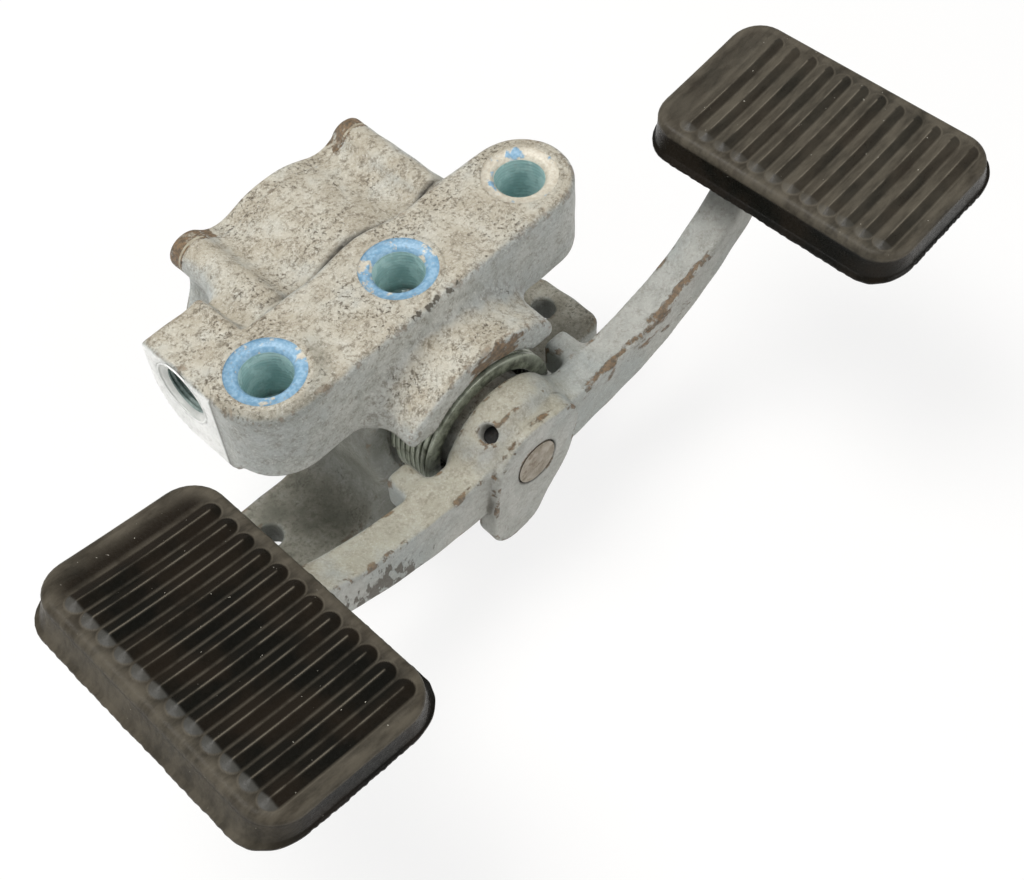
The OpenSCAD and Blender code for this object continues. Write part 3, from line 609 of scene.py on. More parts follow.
class Finish:
    """A material built from nodes on Object coordinates, with patterns sized in millimetres."""

    def __init__(self, name, roughness=0.5, metallic=0.0, specular=0.5):
        self.material = bpy.data.materials.new(name)
        self.material.use_nodes = True
        self.tree = self.material.node_tree
        self.shader = self.tree.nodes["Principled BSDF"]
        self.shader.inputs["Roughness"].default_value = roughness
        self.shader.inputs["Metallic"].default_value = metallic
        self.shader.inputs["Specular IOR Level"].default_value = specular
        self.place = self.node("ShaderNodeTexCoord").outputs["Object"]

    def node(self, kind, inputs=None, **settings):
        """A new node with its settings, and with values or links at its inputs."""
        made = self.tree.nodes.new(kind)
        for key, value in settings.items():
            setattr(made, key, value)
        for key, value in (inputs or {}).items():
            self.feed(made.inputs[key], value)
        return made

    def feed(self, socket, value):
        """Links an output to a socket, or sets the socket's own value."""
        if isinstance(value, bpy.types.NodeSocket):
            self.tree.links.new(value, socket)
        elif isinstance(value, tuple):
            socket.default_value = (*value, 1.0)
        else:
            socket.default_value = value

    def shifted(self, shift, stretch=(1, 1, 1)):
        """Object coordinates moved and stretched, so that two patterns don't coincide."""
        mapping = self.node("ShaderNodeMapping", {"Vector": self.place})
        mapping.inputs["Location"].default_value = (shift * 0.37, shift * 0.53, shift * 0.71)
        mapping.inputs["Scale"].default_value = stretch
        return mapping.outputs["Vector"]

    def noise(self, size, detail=3.0, seed=0.0, rough=0.55, stretch=(1, 1, 1)):
        """Cloudy pattern with patches of about the given size."""
        pattern = {"Scale": 1 / (size * MM), "Detail": detail, "Roughness": rough}
        made = self.node("ShaderNodeTexNoise", {"Vector": self.shifted(seed, stretch), **pattern})
        return made.outputs["Fac"]

    def mark(self, name):
        """A number stored on the mesh's points."""
        return self.node("ShaderNodeAttribute", attribute_name=name).outputs["Fac"]

    def span(self, value, low, high, to_low=0.0, to_high=1.0):
        """Value eased from one range to another and held at its ends."""
        limits = {"From Min": low, "From Max": high, "To Min": to_low, "To Max": to_high}
        made = self.node("ShaderNodeMapRange", {"Value": value, **limits}, interpolation_type="SMOOTHSTEP")
        return made.outputs["Result"]

    def sum(self, operation, a, b):
        """Two values put together by a sum named as the node names it."""
        return self.node("ShaderNodeMath", {0: a, 1: b}, operation=operation).outputs[0]

    def times(self, a, b):
        return self.sum("MULTIPLY", a, b)

    def plus(self, a, b):
        return self.sum("ADD", a, b)

    def most(self, a, b):
        return self.sum("MAXIMUM", a, b)

    def mix(self, part, a, b):
        """Colour between a and b."""
        return self.node("ShaderNodeMix", {0: part, 6: a, 7: b}, data_type="RGBA").outputs[2]

    def coat(self, colour, roughness=None, height=None, depth=0.2):
        """Sets the shader: colour, roughness and a relief of the given depth."""
        self.feed(self.shader.inputs["Base Color"], colour)
        if roughness is not None:
            self.feed(self.shader.inputs["Roughness"], roughness)
        if height is not None:
            bump = self.node("ShaderNodeBump", {"Strength": 1.0, "Distance": depth * MM, "Height": height})
            self.tree.links.new(bump.outputs["Normal"], self.shader.inputs["Normal"])
        return self.material


RUST = (0.19, 0.115, 0.055)
RUST_DARK = (0.075, 0.052, 0.030)
# Colour of the painted shade in concave bends
CREVICE_SHADE = (0.075, 0.065, 0.045)
DIRT = (0.13, 0.105, 0.07)
DULL_PAINT = (0.24, 0.25, 0.225)
WORN_PAINT = (0.70, 0.70, 0.65)
SPECK = (0.10, 0.078, 0.05)
# Dark colour of the painted shade below the manifold and of dirt round the left port
SHADE_AND_DIRT_COLOUR = (0.125, 0.13, 0.105)
# Near-black of the painted gap shadow behind the manifold and of dark lines at edges and gaps
SEAM_AND_GAP_SHADOW = (0.022, 0.018, 0.012)
PIT = (0.060, 0.050, 0.034)
IRON_GREY = (0.84, 0.86, 0.85)
IRON_WHITE = (0.95, 0.96, 0.95)
IRON_STAIN = (0.30, 0.30, 0.28)


def cast_paint(name, cool, warm, tan_pale, tan_deep, grime, chips, speckle):
    """Painted iron casting: grey coat, tan grime on upper faces, sandy dirt, specks, pits, rusty edges, and
    painted shade in hollows, gaps and below the manifold.
    """
    f = Finish(name, specular=0.45)
    up = f.mark("up")
    bend = f.mark("bend")
    broad = f.noise(38, 3, seed=1)
    patch = f.noise(11, 4, seed=2)
    sand = f.noise(1.0, 6, seed=3, rough=0.85)
    grit = f.noise(2.6, 3, seed=4, rough=0.6)

    coat = f.mix(f.span(broad, 0.38, 0.62), cool, warm)
    blotch = f.span(f.noise(5, 5, seed=11, rough=0.65), 0.42, 0.66)
    coat = f.mix(f.times(blotch, 0.5), coat, DULL_PAINT)
    lying = f.plus(up, f.times(f.plus(patch, -0.5), 1.1))
    grimy = f.times(f.times(f.span(lying, 0.45, 1.0), grime), f.span(f.mark("clean"), 0.0, 1.0, 1.0, 0.0))
    tan = f.mix(f.span(patch, 0.35, 0.65), tan_pale, tan_deep)
    colour = f.mix(grimy, coat, tan)

    # Sandy grain: dirt in the low places, bare worn paint on the high ones
    soil = f.plus(f.times(grimy, 0.25), f.span(broad, 0.3, 0.7, 0.32, 0.46))
    low = f.times(f.span(f.plus(sand, f.times(grit, 0.6)), 0.84, 0.62), f.times(soil, 0.4 + 0.8 * speckle))
    colour = f.mix(f.times(low, 1.25), colour, DIRT)
    colour = f.mix(f.times(f.span(sand, 0.52, 0.68), 0.15 + 0.6 * speckle), colour, WORN_PAINT)

    cluster = f.span(f.noise(17, 2, seed=6), 0.44, 0.60)
    specks = f.times(f.span(f.noise(1.3, 4, seed=5, rough=0.7), 0.56, 0.64), cluster)
    specks = f.times(f.times(specks, f.span(up, 0.1, 0.6)), speckle)
    colour = f.mix(specks, colour, SPECK)
    # Painted shade below the manifold and dirt round the left port, darkened in patches
    stain = f.times(f.mark("oil"), f.span(patch, 0.3, 0.7, 0.55, 0.85))
    colour = f.mix(stain, colour, SHADE_AND_DIRT_COLOUR)

    # Painted shade in concave bends
    hollow = f.span(f.times(bend, -1.0), 0.12, 0.7)
    colour = f.mix(f.times(hollow, 0.7), colour, CREVICE_SHADE)
    # Painted shadow in the gap behind the manifold, and dark lines at the planed face's edge and round the lever's
    # shaft
    seam = f.times(f.mark("seam"), f.span(grit, 0.25, 0.55, 0.55, 1.0))
    colour = f.mix(seam, colour, SEAM_AND_GAP_SHADOW)

    edge = f.times(f.span(bend, 0.14, 0.40), f.span(f.noise(5, 4, seed=7, rough=0.65), 0.53, 0.60))
    bare = f.times(edge, chips)
    flake = f.noise(5, 6, seed=8, rough=0.65, stretch=(0.6, 1, 1))
    bare = f.most(bare, f.span(f.plus(f.mark("rust"), f.times(flake, 0.9)), 0.98, 1.06))
    rust = f.mix(f.span(f.noise(1.2, 4, seed=9, rough=0.7), 0.38, 0.64), RUST_DARK, RUST)
    colour = f.mix(f.times(bare, 0.9), colour, rust)

    pocked = f.times(f.noise(3.0, 4, seed=10, stretch=(1, 1, 0.55)), 1.6)
    pitted = f.span(f.plus(f.times(f.mark("pits"), 0.5), pocked), 1.25, 1.36)
    colour = f.mix(f.times(pitted, 0.9), colour, PIT)
    iron = f.mix(f.span(patch, 0.3, 0.7), IRON_GREY, IRON_WHITE)
    iron = f.mix(f.times(low, 0.8), iron, IRON_STAIN)
    colour = f.mix(f.mark("planed"), colour, iron)

    relief = f.plus(f.plus(f.times(sand, 0.5), f.times(grit, 0.35)), f.times(patch, 0.8))
    relief = f.plus(relief, f.times(f.plus(specks, f.plus(bare, pitted)), -0.5))
    rough = f.plus(f.span(sand, 0.3, 0.7, 0.50, 0.36), f.times(f.plus(grimy, bare), 0.16))
    return f.coat(colour, rough, relief, depth=0.5)


def port_ring_finish(name, cover, seed):
    """Machined ring round a port: worn pale blue paint over stained metal."""
    f = Finish(name, specular=0.45)
    wear = f.noise(7, 4, seed=seed, rough=0.6)
    fine = f.noise(1.2, 3, seed=seed + 1)
    blue = f.mix(f.span(fine, 0.35, 0.7), (0.165, 0.32, 0.47), (0.29, 0.46, 0.61))
    stain = f.mix(f.span(fine, 0.3, 0.7), (0.50, 0.45, 0.36), (0.64, 0.61, 0.52))
    worn = f.span(wear, cover - 0.03, cover + 0.03)
    colour = f.mix(worn, blue, stain)
    scuff = f.times(f.span(f.noise(0.9, 3, seed=seed + 2), 0.60, 0.70), 0.5)
    colour = f.mix(scuff, colour, (0.30, 0.31, 0.30))
    relief = f.plus(fine, f.times(worn, -0.6))
    return f.coat(colour, f.span(fine, 0.3, 0.7, 0.35, 0.55), relief, depth=0.12)


def bore_finish(name, deep, pale):
    """Inside of a port: teal oily paint, paler where it is rubbed, with mud at the bottom."""
    f = Finish(name, specular=0.6)
    cloud = f.noise(5, 4, seed=21)
    fine = f.noise(1.1, 3, seed=22)
    colour = f.mix(f.span(cloud, 0.3, 0.7), deep, pale)
    colour = f.mix(f.times(f.span(fine, 0.55, 0.75), 0.5), colour, (0.45, 0.55, 0.52))
    mud = f.span(f.plus(f.mark("deep"), f.times(cloud, 0.5)), 1.02, 1.35)
    colour = f.mix(mud, colour, (0.055, 0.050, 0.035))
    return f.coat(colour, f.span(cloud, 0.3, 0.7, 0.16, 0.38), fine, depth=0.12)


def machined_finish(name, pale, deep):
    """Bare machined iron: pale grey with faint scratches and stains."""
    f = Finish(name, specular=0.5, metallic=0.25)
    cloud = f.noise(9, 4, seed=31)
    streak = f.noise(1.4, 3, seed=32, stretch=(1, 6, 1))
    colour = f.mix(f.span(cloud, 0.3, 0.7), deep, pale)
    colour = f.mix(f.times(f.span(streak, 0.55, 0.75), 0.4), colour, (0.42, 0.43, 0.41))
    return f.coat(colour, f.span(streak, 0.3, 0.7, 0.28, 0.45), streak, depth=0.08)


def metal_finish(name, pale, deep, stain, roughness, metallic=0.85):
    """Worn metal: two tones in clouds, stains in patches and a fine grain."""
    f = Finish(name, specular=0.5, metallic=metallic)
    cloud = f.noise(5, 4, seed=41)
    fine = f.noise(0.9, 3, seed=42)
    colour = f.mix(f.span(cloud, 0.3, 0.7), deep, pale)
    colour = f.mix(f.times(f.span(f.noise(2.6, 4, seed=43), 0.50, 0.66), 0.7), colour, stain)
    return f.coat(colour, f.span(fine, 0.3, 0.7, roughness - 0.1, roughness + 0.12), fine, depth=0.10)


def spring_finish():
    """Edge wound strip: greenish black, oily, paler where its edge is rubbed."""
    f = Finish("oily_spring_steel", specular=0.6, metallic=0.35)
    streak = f.noise(2.5, 4, seed=51)
    fine = f.noise(0.8, 3, seed=52)
    colour = f.mix(f.span(streak, 0.35, 0.7), (0.065, 0.070, 0.050), (0.28, 0.31, 0.23))
    rubbed = f.times(f.mark("rim"), f.span(f.noise(6, 3, seed=53), 0.30, 0.55))
    colour = f.mix(f.times(rubbed, 0.9), colour, (0.34, 0.37, 0.30))
    return f.coat(colour, f.span(fine, 0.3, 0.7, 0.26, 0.48), fine, depth=0.10)


def rubber_finish(name, gloss, far_light_and_dust, skirt_dust, ramp_highlight, seed):
    """Old moulded rubber: black ribs with thin pale lines, dusted skirt and border, painted light on far slopes
    and border, painted highlights on left rib ends.
    """
    f = Finish(name, specular=gloss)
    cloud = f.noise(16, 4, seed=seed)
    fine = f.noise(1.0, 3, seed=seed + 1)
    smear = f.noise(7, 5, seed=seed + 2, rough=0.65, stretch=(0.45, 1.4, 1))
    patchy = f.span(smear, 0.28, 0.72, 0.35, 0.95)
    colour = f.mix(f.span(cloud, 0.35, 0.65), (0.004, 0.004, 0.003), (0.012, 0.009, 0.006))
    # Far slopes lighter: a thin dusting everywhere, and painted light on the rib slopes facing the light, in a
    # per-pad amount
    slope_light_and_dust = f.times(f.plus(f.times(f.mark("far"), far_light_and_dust), f.times(f.mark("skirt"), skirt_dust)), patchy)
    # Border: streaky dusting, lightest at the outline, which also paints the light on the dish rising to the rim
    border = f.times(f.mark("border"), f.span(smear, 0.28, 0.66, 0.25, 0.8))
    dust_and_painted_light = f.most(border, slope_light_and_dust)
    colour = f.mix(dust_and_painted_light, colour, (0.110, 0.097, 0.074))
    crest = f.times(f.mark("crest"), f.span(f.noise(9, 3, seed=seed + 3), 0.30, 0.60, 0.15, 0.8))
    colour = f.mix(crest, colour, (0.155, 0.138, 0.108))
    # Painted highlight on the left ends of the ribs
    colour = f.mix(f.times(f.mark("ramp"), ramp_highlight), colour, (0.13, 0.13, 0.12))
    grit = f.span(f.noise(1.4, 2, seed=seed + 4), 0.75, 0.78)
    colour = f.mix(f.times(grit, 0.8), colour, (0.45, 0.43, 0.37))
    rough = f.plus(f.span(fine, 0.3, 0.7, 0.22, 0.36), f.times(dust_and_painted_light, 0.30))
    return f.coat(colour, rough, f.plus(f.times(fine, 0.4), f.times(cloud, 0.9)), depth=0.22)


BODY_PAINT = cast_paint(
    "valve_casting_paint",
    cool=(0.38, 0.405, 0.395),
    warm=(0.46, 0.47, 0.44),
    tan_pale=(0.52, 0.49, 0.405),
    tan_deep=(0.40, 0.355, 0.27),
    grime=0.85,
    chips=0.55,
    speckle=0.8,
)
LEVER_PAINT = cast_paint(
    "lever_casting_paint",
    cool=(0.30, 0.325, 0.315),
    warm=(0.375, 0.38, 0.355),
    tan_pale=(0.41, 0.385, 0.29),
    tan_deep=(0.33, 0.30, 0.21),
    grime=0.6,
    chips=0.9,
    speckle=0.2,
)
TOP_BORE = bore_finish("top_port_bore", (0.36, 0.56, 0.56), (0.58, 0.78, 0.77))
SIDE_BORE = bore_finish("side_port_bore", (0.13, 0.18, 0.17), (0.32, 0.40, 0.38))
RINGS = {
    "left_port": port_ring_finish("left_port_ring", 0.60, 3.0),
    "middle_port": port_ring_finish("middle_port_ring", 0.53, 9.0),
    "right_port": port_ring_finish("right_port_ring", 0.40, 15.0),
    "side_port": machined_finish("side_port_ring", (0.70, 0.71, 0.69), (0.52, 0.54, 0.52)),
}
# The right pad gets far more painted light on its far slopes, for the reflection it catches
RUBBER = {
    "left_pad": rubber_finish("left_tread_rubber", 0.08, 0.04, 0.85, 0.40, 61.0),
    "right_pad": rubber_finish("right_tread_rubber", 0.13, 1.0, 0.0, 0.15, 71.0),
}

# Castings


def body_wear(x, y, z):
    """Where the body is rusty, pitted, planed or dirty, where the gap behind the manifold gets its painted shadow,
    and where shade is painted below the manifold.
    """
    hood_edge = near(y, HOOD_Y, 3.2) * fade(z, 62, 70) * near(x, 6, 24)
    top_edge = near(y, FRONT_Y + 0.8, 2.0) * near(z, MANIFOLD_TOP - 1, 2.5) * near(x, 4, 34)
    # Painted shade below the manifold's overhang, less on the right half
    oily = fade(z, 66, 58) * fade(y, 18, 12) * fade(y, FRONT_Y - 3, FRONT_Y - 1)
    planed = fade(x, SIDE_FACE_X + 0.4, SIDE_FACE_X + 0.1) * (y > PLANED_FRONT_Y) * (z > AXIS_Z)
    face_edge = near(x, SIDE_FACE_X, 1.2) * near(y, PLANED_FRONT_Y - 0.8, 1.0) * (z > AXIS_Z)
    from_left_port = np.hypot(x + PORT_SPACING, y - PORT_Y)
    dirt = near(from_left_port, MANIFOLD_R - 1.5, 3.5) * fade(y, PORT_Y + 4, PORT_Y - 4)
    dirt = dirt * fade(z, MANIFOLD_TOP - 5, MANIFOLD_TOP - 2)
    return {
        "rust": 0.64 * hood_edge,
        "pits": 0.90 * top_edge,
        "planed": planed,
        # The crack line is painted shadow in the gap behind the manifold; the face edge is a dark line
        "seam": crack(x, y, z) + 0.7 * face_edge,
        # Painted shade below the manifold, and dirt round the left port
        "oil": oily * np.where(x > 0, 0.72, 1.0) + 0.55 * dirt,
    }


def cover_wear(x, y, z):
    """The cover is rusty at its ears."""
    return {"rust": 0.62 * fade(at_ears(x, z, EAR_R), 5.6, 1.6)}


def lever_wear(x, y, z):
    """Where the lever is chipped, pitted, dark or clean."""
    chips = near(y, ARM_FRONT_Y + 1.5, 3.5) * fade(x, 18, 26) * fade(x, 100, 80) * fade(z, 44, 50)
    from_axis = np.hypot(x, z - AXIS_Z)
    rim = near(y, BOSS_Y + 2, 4.0) * near(from_axis, BOSS_R + 0.5, 3.0)
    foot = near(y, ARM_FRONT_Y, 3.0) * near(x, -64, 22) * fade(z + 0.3 * (x + 64), 63, 49)
    ring = near(from_axis, SHAFT_R + SHAFT_GAP, 0.5) * near(y, BOSS_Y, 1.5)
    clean = fade(x, 10, 30)
    return {"rust": 0.60 * chips + 0.54 * rim, "pits": 1.15 * foot, "seam": ring, "clean": clean}


casting(
    "valve_casting", body_solid, body_lo, body_hi, 1.15, BODY_PAINT,
    "frame", "valve_body", body_wear,
)
casting(
    "cover_casting", cover_solid, cover_lo - np.array([0, COVER_GRID_LEAD, 0]), cover_hi, 0.6, BODY_PAINT,
    "frame", "rear_cover", cover_wear,
)
casting(
    "lever_casting", lever_solid, lever_lo, lever_hi, 0.86, LEVER_PAINT,
    "rocker", "rocker_lever", lever_wear,
)

# Port liners: spotface radius, width of the lip, depth of the thread and finish of the bore

TOP_LINER = (SPOTFACE_R, 2.2, 0.12, TOP_BORE)
SIDE_LINER = (SIDE_SPOTFACE_R, 0.9, 0.42, SIDE_BORE)
LINER_SIDES = 96


def port_liner(name):
    """Lip, spotface, chamfer, threaded wall and bottom of a port.

    A profile of radius against depth is carried round the port's axis. On the wall the radius follows a
    triangle wave of depth less turn, which is a screw thread.
    """
    mount = mounts[name]
    length = mount["dims"]["length_mm"]
    along = np.array(mount["axis"], float)
    centre = np.array(mount["pos_m"]) / MM + along * (length / 2 + PORT_CHAMFER + SPOTFACE_DEPTH)
    spot, lip_w, thread_depth, bore = TOP_LINER if along[2] > 0.5 else SIDE_LINER
    chamfer_r = PORT_R + PORT_CHAMFER
    mouth = SPOTFACE_DEPTH + PORT_CHAMFER
    bottom = mouth + length
    lip = [(spot + lip_w, 0.4), (spot + lip_w - 0.2, -0.03), (spot + 0.35, -0.03), (spot + 0.1, 0.1)]
    ring = [(spot, 0.35), (spot - 0.05, SPOTFACE_DEPTH)]
    ring += [(chamfer_r + 0.25, SPOTFACE_DEPTH), (chamfer_r, SPOTFACE_DEPTH + 0.15)]
    wall = [(PORT_R, d) for d in np.linspace(mouth, bottom - 0.3, int(length / THREAD_PITCH * 8))]
    end = [(PORT_R - 0.6, bottom), (0.02, bottom + 2)]
    profile = np.array(lip + ring + wall + end)
    around = LINER_SIDES
    angle = np.arange(around) / around * TURN
    depth = np.repeat(profile[:, 1:2], around, axis=1)
    radius = np.repeat(profile[:, 0:1], around, axis=1)
    first_wall = len(lip) + len(ring)
    on_wall = slice(first_wall, first_wall + len(wall))
    phase = depth[on_wall] / THREAD_PITCH - angle / TURN
    radius[on_wall] += thread_depth * (2 * np.abs(phase - np.floor(phase) - 0.5) - 0.5)
    side = np.array([0.0, 1.0, 0.0])
    third = np.cross(along, side)
    points = (
        centre
        - along * depth[..., None]
        + side * (radius * np.cos(angle))[..., None]
        + third * (radius * np.sin(angle))[..., None]
    ).reshape(-1, 3)
    rows = len(profile)
    faces = ring_faces(rows, around)[:, ::-1]
    row = np.repeat(np.arange(rows - 1), around)
    finish = np.where(row < len(lip) - 1, 0, np.where(row < first_wall, 1, 2))
    up = np.full(len(points), along[2])
    marks = {"up": up, "planed": 1 - up, "deep": fade(depth, mouth, bottom).ravel()}
    piece(
        f"{name}_liner", points, faces.tolist(), [BODY_PAINT, RINGS[name], bore],
        "frame", (), marks, finish,
    )


for port in (*TOP_PORTS, "side_port"):
    port_liner(port)

# Rubber pads


def dish(x):
    """Sag of a pad's top across its width: none at the long edges and most in the middle, as a parabola."""
    return -TREAD_SAG * (1 - (x / PAD_HALF[0]) ** 2)


def tread(x, y):
    """Top of a pad over its own middle, with marks for its crests, border, far slopes and left ramps.

    A rib is a cone of height against the distance from its middle line, so that its ends are round. Its
    crest is eased by a small root of squares. The whole follows the dish.
    """
    last = (RIBS - 1) / 2
    row = np.clip(np.round((y + RIB_SHIFT) / RIB_PITCH - 0.5) + 0.5, -last, last)
    across = y + RIB_SHIFT - row * RIB_PITCH
    off_axis = np.hypot(np.maximum(np.abs(x) - RIB_REACH, 0), across)
    eased = np.sqrt(off_axis**2 + 0.2**2)
    rib = np.maximum(RIB_H * (1 - eased / RIB_HALF), 0)
    height = PAD_TOP + dish(x) + rib
    on_rib = fade(off_axis, RIB_HALF, RIB_HALF - 0.3)
    crest = near(off_axis, 0, 0.22) + 0.5 * near(off_axis, RIB_HALF + 0.1, 0.25)
    crest = crest * (np.abs(x) < RIB_REACH + RIB_HALF + 0.4)
    inset = -oblong(x, y, *PAD_HALF, PAD_CORNER)
    marks = {
        "crest": crest,
        # Border: dusting, and painted light of the dish as it rises to the outline
        "border": near(np.maximum(inset - 2, 0), 0, 3.2) * (1 - on_rib),
        # Far slopes: a thin dusting everywhere, more on the ribs' far slopes as painted light
        "far": 0.3 + 0.55 * on_rib * fade(across, 0, 0.3) + 0.28 * (1 - on_rib),
        # Ramp: painted highlight on the left ends of the ribs
        "ramp": on_rib * fade(x, -RIB_REACH, -RIB_REACH - 0.6),
    }
    return height, marks


def pad(name, node, side):
    """A pad: a grid over the tread, then a profile carried round its outline to the lip and into the pocket.

    The profile gives each ring's step outward, its share of the skirt's flare, its height and its share of
    the dish.
    """
    half_x, half_y = PAD_HALF - PAD_ROUND
    corner = PAD_CORNER - PAD_ROUND
    columns = 141
    fine = 20
    end_count = 9
    reach = RIBS * RIB_PITCH / 2
    rib_rows = np.linspace(-reach, reach, RIBS * fine + 1) - RIB_SHIFT
    ease = np.sin(np.linspace(0, TURN / 4, end_count)[1:])
    near_rows = rib_rows[0] - (half_y + rib_rows[0]) * ease
    far_rows = rib_rows[-1] + (half_y - rib_rows[-1]) * ease
    rows = np.concatenate([near_rows[::-1], rib_rows, far_rows])
    past = np.clip(np.abs(rows) - half_y + corner, 0, corner)
    width = half_x - corner + np.sqrt(np.maximum(corner**2 - past**2, 0))
    x = width[:, None] * np.linspace(-1, 1, columns)
    y = np.repeat(rows[:, None], columns, axis=1)
    height, top_marks = tread(x, y)
    top = np.stack([x, y, height], axis=-1).reshape(-1, 3)
    number = np.arange(x.size).reshape(x.shape)
    top_faces = np.stack([number[:-1, :-1], number[:-1, 1:], number[1:, 1:], number[1:, :-1]], axis=-1)

    # Outline of the grid, counter-clockwise from the near left corner
    loop = np.concatenate([number[0, :-1], number[:-1, -1], number[-1, :0:-1], number[:0:-1, 0]])
    start = top[loop]
    core = np.clip(start[:, :2], [corner - half_x, corner - half_y], [half_x - corner, half_y - corner])
    outward = (start[:, :2] - core) / corner

    shoulder = PAD_TOP - PAD_ROUND
    bend = np.linspace(0, TURN / 4, 8)[1:]
    edge = [(PAD_ROUND * (math.sin(a) - 1), 0, shoulder + PAD_ROUND * math.cos(a), math.cos(a)) for a in bend]
    wall_z = np.linspace(shoulder, PAD_FOOT + 1.5, 9)[1:]
    wall = [(0, ((shoulder - z) / (shoulder - PAD_FOOT)) ** 1.5, z, 0) for z in wall_z]
    bead = [(out, 1, PAD_FOOT + up, 0) for out, up in ((0.35, 1.3), (0.5, 1.0), (0.5, 0.3), (0.25, 0))]
    plate_gap = PAD_HALF[0] - PLATE_HALF[0] - PLATE_PLAY
    mouth = plate_gap + PAD_LIP_W
    under = -PLATE_T - PLATE_PLAY
    pocket_steps = ((mouth, PAD_FOOT), (mouth, under), (plate_gap, under), (plate_gap, PLATE_PLAY))
    pocket = [(-inward, 0, z, 0) for inward, z in pocket_steps]
    step, flare, level, dished = np.array(edge + wall + bead + pocket).T[:, :, None]
    bead_rows = slice(len(edge) + len(wall), len(edge) + len(wall) + len(bead))

    count = len(loop)
    chance = np.random.default_rng(5 if side > 0 else 6)
    torn = np.zeros(count)
    for wave in (7, 13, 29, 61, 97):
        torn += np.cos(np.arange(count) / count * TURN * wave + chance.uniform(0, TURN)) / 4
    out = np.repeat(step, count, axis=1)
    out[bead_rows] += 0.22 * torn
    spread = outward * ((corner + PAD_ROUND + out)[..., None] + flare[..., None] * PAD_FLARE)
    drop = level + dished * dish(start[:, 0])
    skirt = np.concatenate([core + spread, drop[..., None]], axis=-1).reshape(-1, 3)

    rings = np.concatenate([loop[None, :], len(top) + np.arange(len(skirt)).reshape(-1, count)])
    following = np.roll(rings, -1, axis=1)
    skirt_faces = np.stack([rings[:-1], rings[1:], following[1:], following[:-1]], axis=-1)
    ceiling = rings[-1][::-1].tolist()

    local = np.concatenate([top, skirt])
    tilt = side * PAD_TILT
    world = np.stack(
        [
            side * PAD_X + local[:, 0] * math.cos(tilt) - local[:, 2] * math.sin(tilt),
            PAD_Y + local[:, 1],
            PLATE_Z + local[:, 0] * math.sin(tilt) + local[:, 2] * math.cos(tilt),
        ],
        axis=-1,
    )
    below_edge = np.repeat(np.arange(len(rings) - 1) >= len(edge), count)
    on_edge = 1.0 - below_edge
    on_skirt = below_edge * np.tile(np.clip(-outward[:, 0], 0, 1), len(rings) - 1)
    marks = {"skirt": np.concatenate([np.zeros(len(top)), on_skirt])}
    for mark, values in top_marks.items():
        marks[mark] = np.concatenate([values.ravel(), on_edge * (mark == "border")])
    faces = np.concatenate([top_faces.reshape(-1, 4), skirt_faces.reshape(-1, 4)]).tolist() + [ceiling]
    piece(name, world, faces, [RUBBER[node]], "rocker", [node], marks)


pad("left_tread_pad", "left_pad", -1)
pad("right_tread_pad", "right_pad", 1)

# Centring spring


def spring_coil():
    """Edge wound strip: a rounded oblong section carried along a helix, with a straight prong at each end.
    """
    mean = spring_hi[0] - WIRE_W / 2
    back_y = FRONT_Y - 0.3 - WIRE_T / 2
    front_y = back_y - COIL_PITCH * COIL_TURNS
    steps = int(COIL_TURNS * 60)
    t = np.linspace(0, 1, steps + 1)[:, None]
    angle = t * COIL_TURNS * TURN
    corner = (np.arange(COIL_SIDES) + 0.5) / COIL_SIDES * TURN
    bulge = np.stack([np.cos(corner), np.sin(corner)])
    bulge = np.sign(bulge) * np.abs(bulge) ** 0.3
    radius = mean + bulge[0] * WIRE_W / 2
    y = front_y + t * (back_y - front_y) + bulge[1] * WIRE_T / 2
    coil = np.stack([radius * np.cos(angle), y, AXIS_Z + radius * np.sin(angle)], axis=-1)
    rim = np.repeat(np.clip(bulge[0], 0, 1)[None, :], steps + 1, axis=0)
    points = [coil.reshape(-1, 3)]
    marks = [rim.ravel()]
    faces = ring_faces(steps + 1, COIL_SIDES).tolist()
    last = steps * COIL_SIDES
    faces += [list(range(COIL_SIDES - 1, -1, -1)), list(range(last, last + COIL_SIDES))]
    around = np.arange(PRONG_SIDES) / PRONG_SIDES * TURN
    for x, low, high in ((mean, spring_lo[1] + 0.2, front_y), (-mean, back_y, spring_hi[1] - 0.2)):
        first = sum(len(p) for p in points)
        second = first + PRONG_SIDES
        rows = np.array([low, high])[:, None]
        prong = np.broadcast_arrays(x + PRONG_R * np.cos(around), rows, AXIS_Z + PRONG_R * np.sin(around))
        points.append(np.stack(prong, axis=-1).reshape(-1, 3))
        faces += (ring_faces(2, PRONG_SIDES)[:, ::-1] + first).tolist()
        faces += [list(range(first, second)), list(range(second + PRONG_SIDES - 1, second - 1, -1))]
        marks.append(np.zeros(2 * PRONG_SIDES))
    made = piece(
        "centring_coil", np.concatenate(points), faces, [spring_finish()],
        None, ["centring_spring"], {"rim": np.concatenate(marks)},
    )
    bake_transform(made)


spring_coil()

# Finishes of the pieces that keep the model's own shape


def finish_nodes(node_names, name, pale, deep, stain, roughness, metallic=0.85):
    """Gives one worn metal finish to pieces of the model."""
    finish = metal_finish(name, pale, deep, stain, roughness, metallic)
    for node_name in node_names:
        for material_slot in frame["nodes"][node_name].material_slots:
            material_slot.material = finish


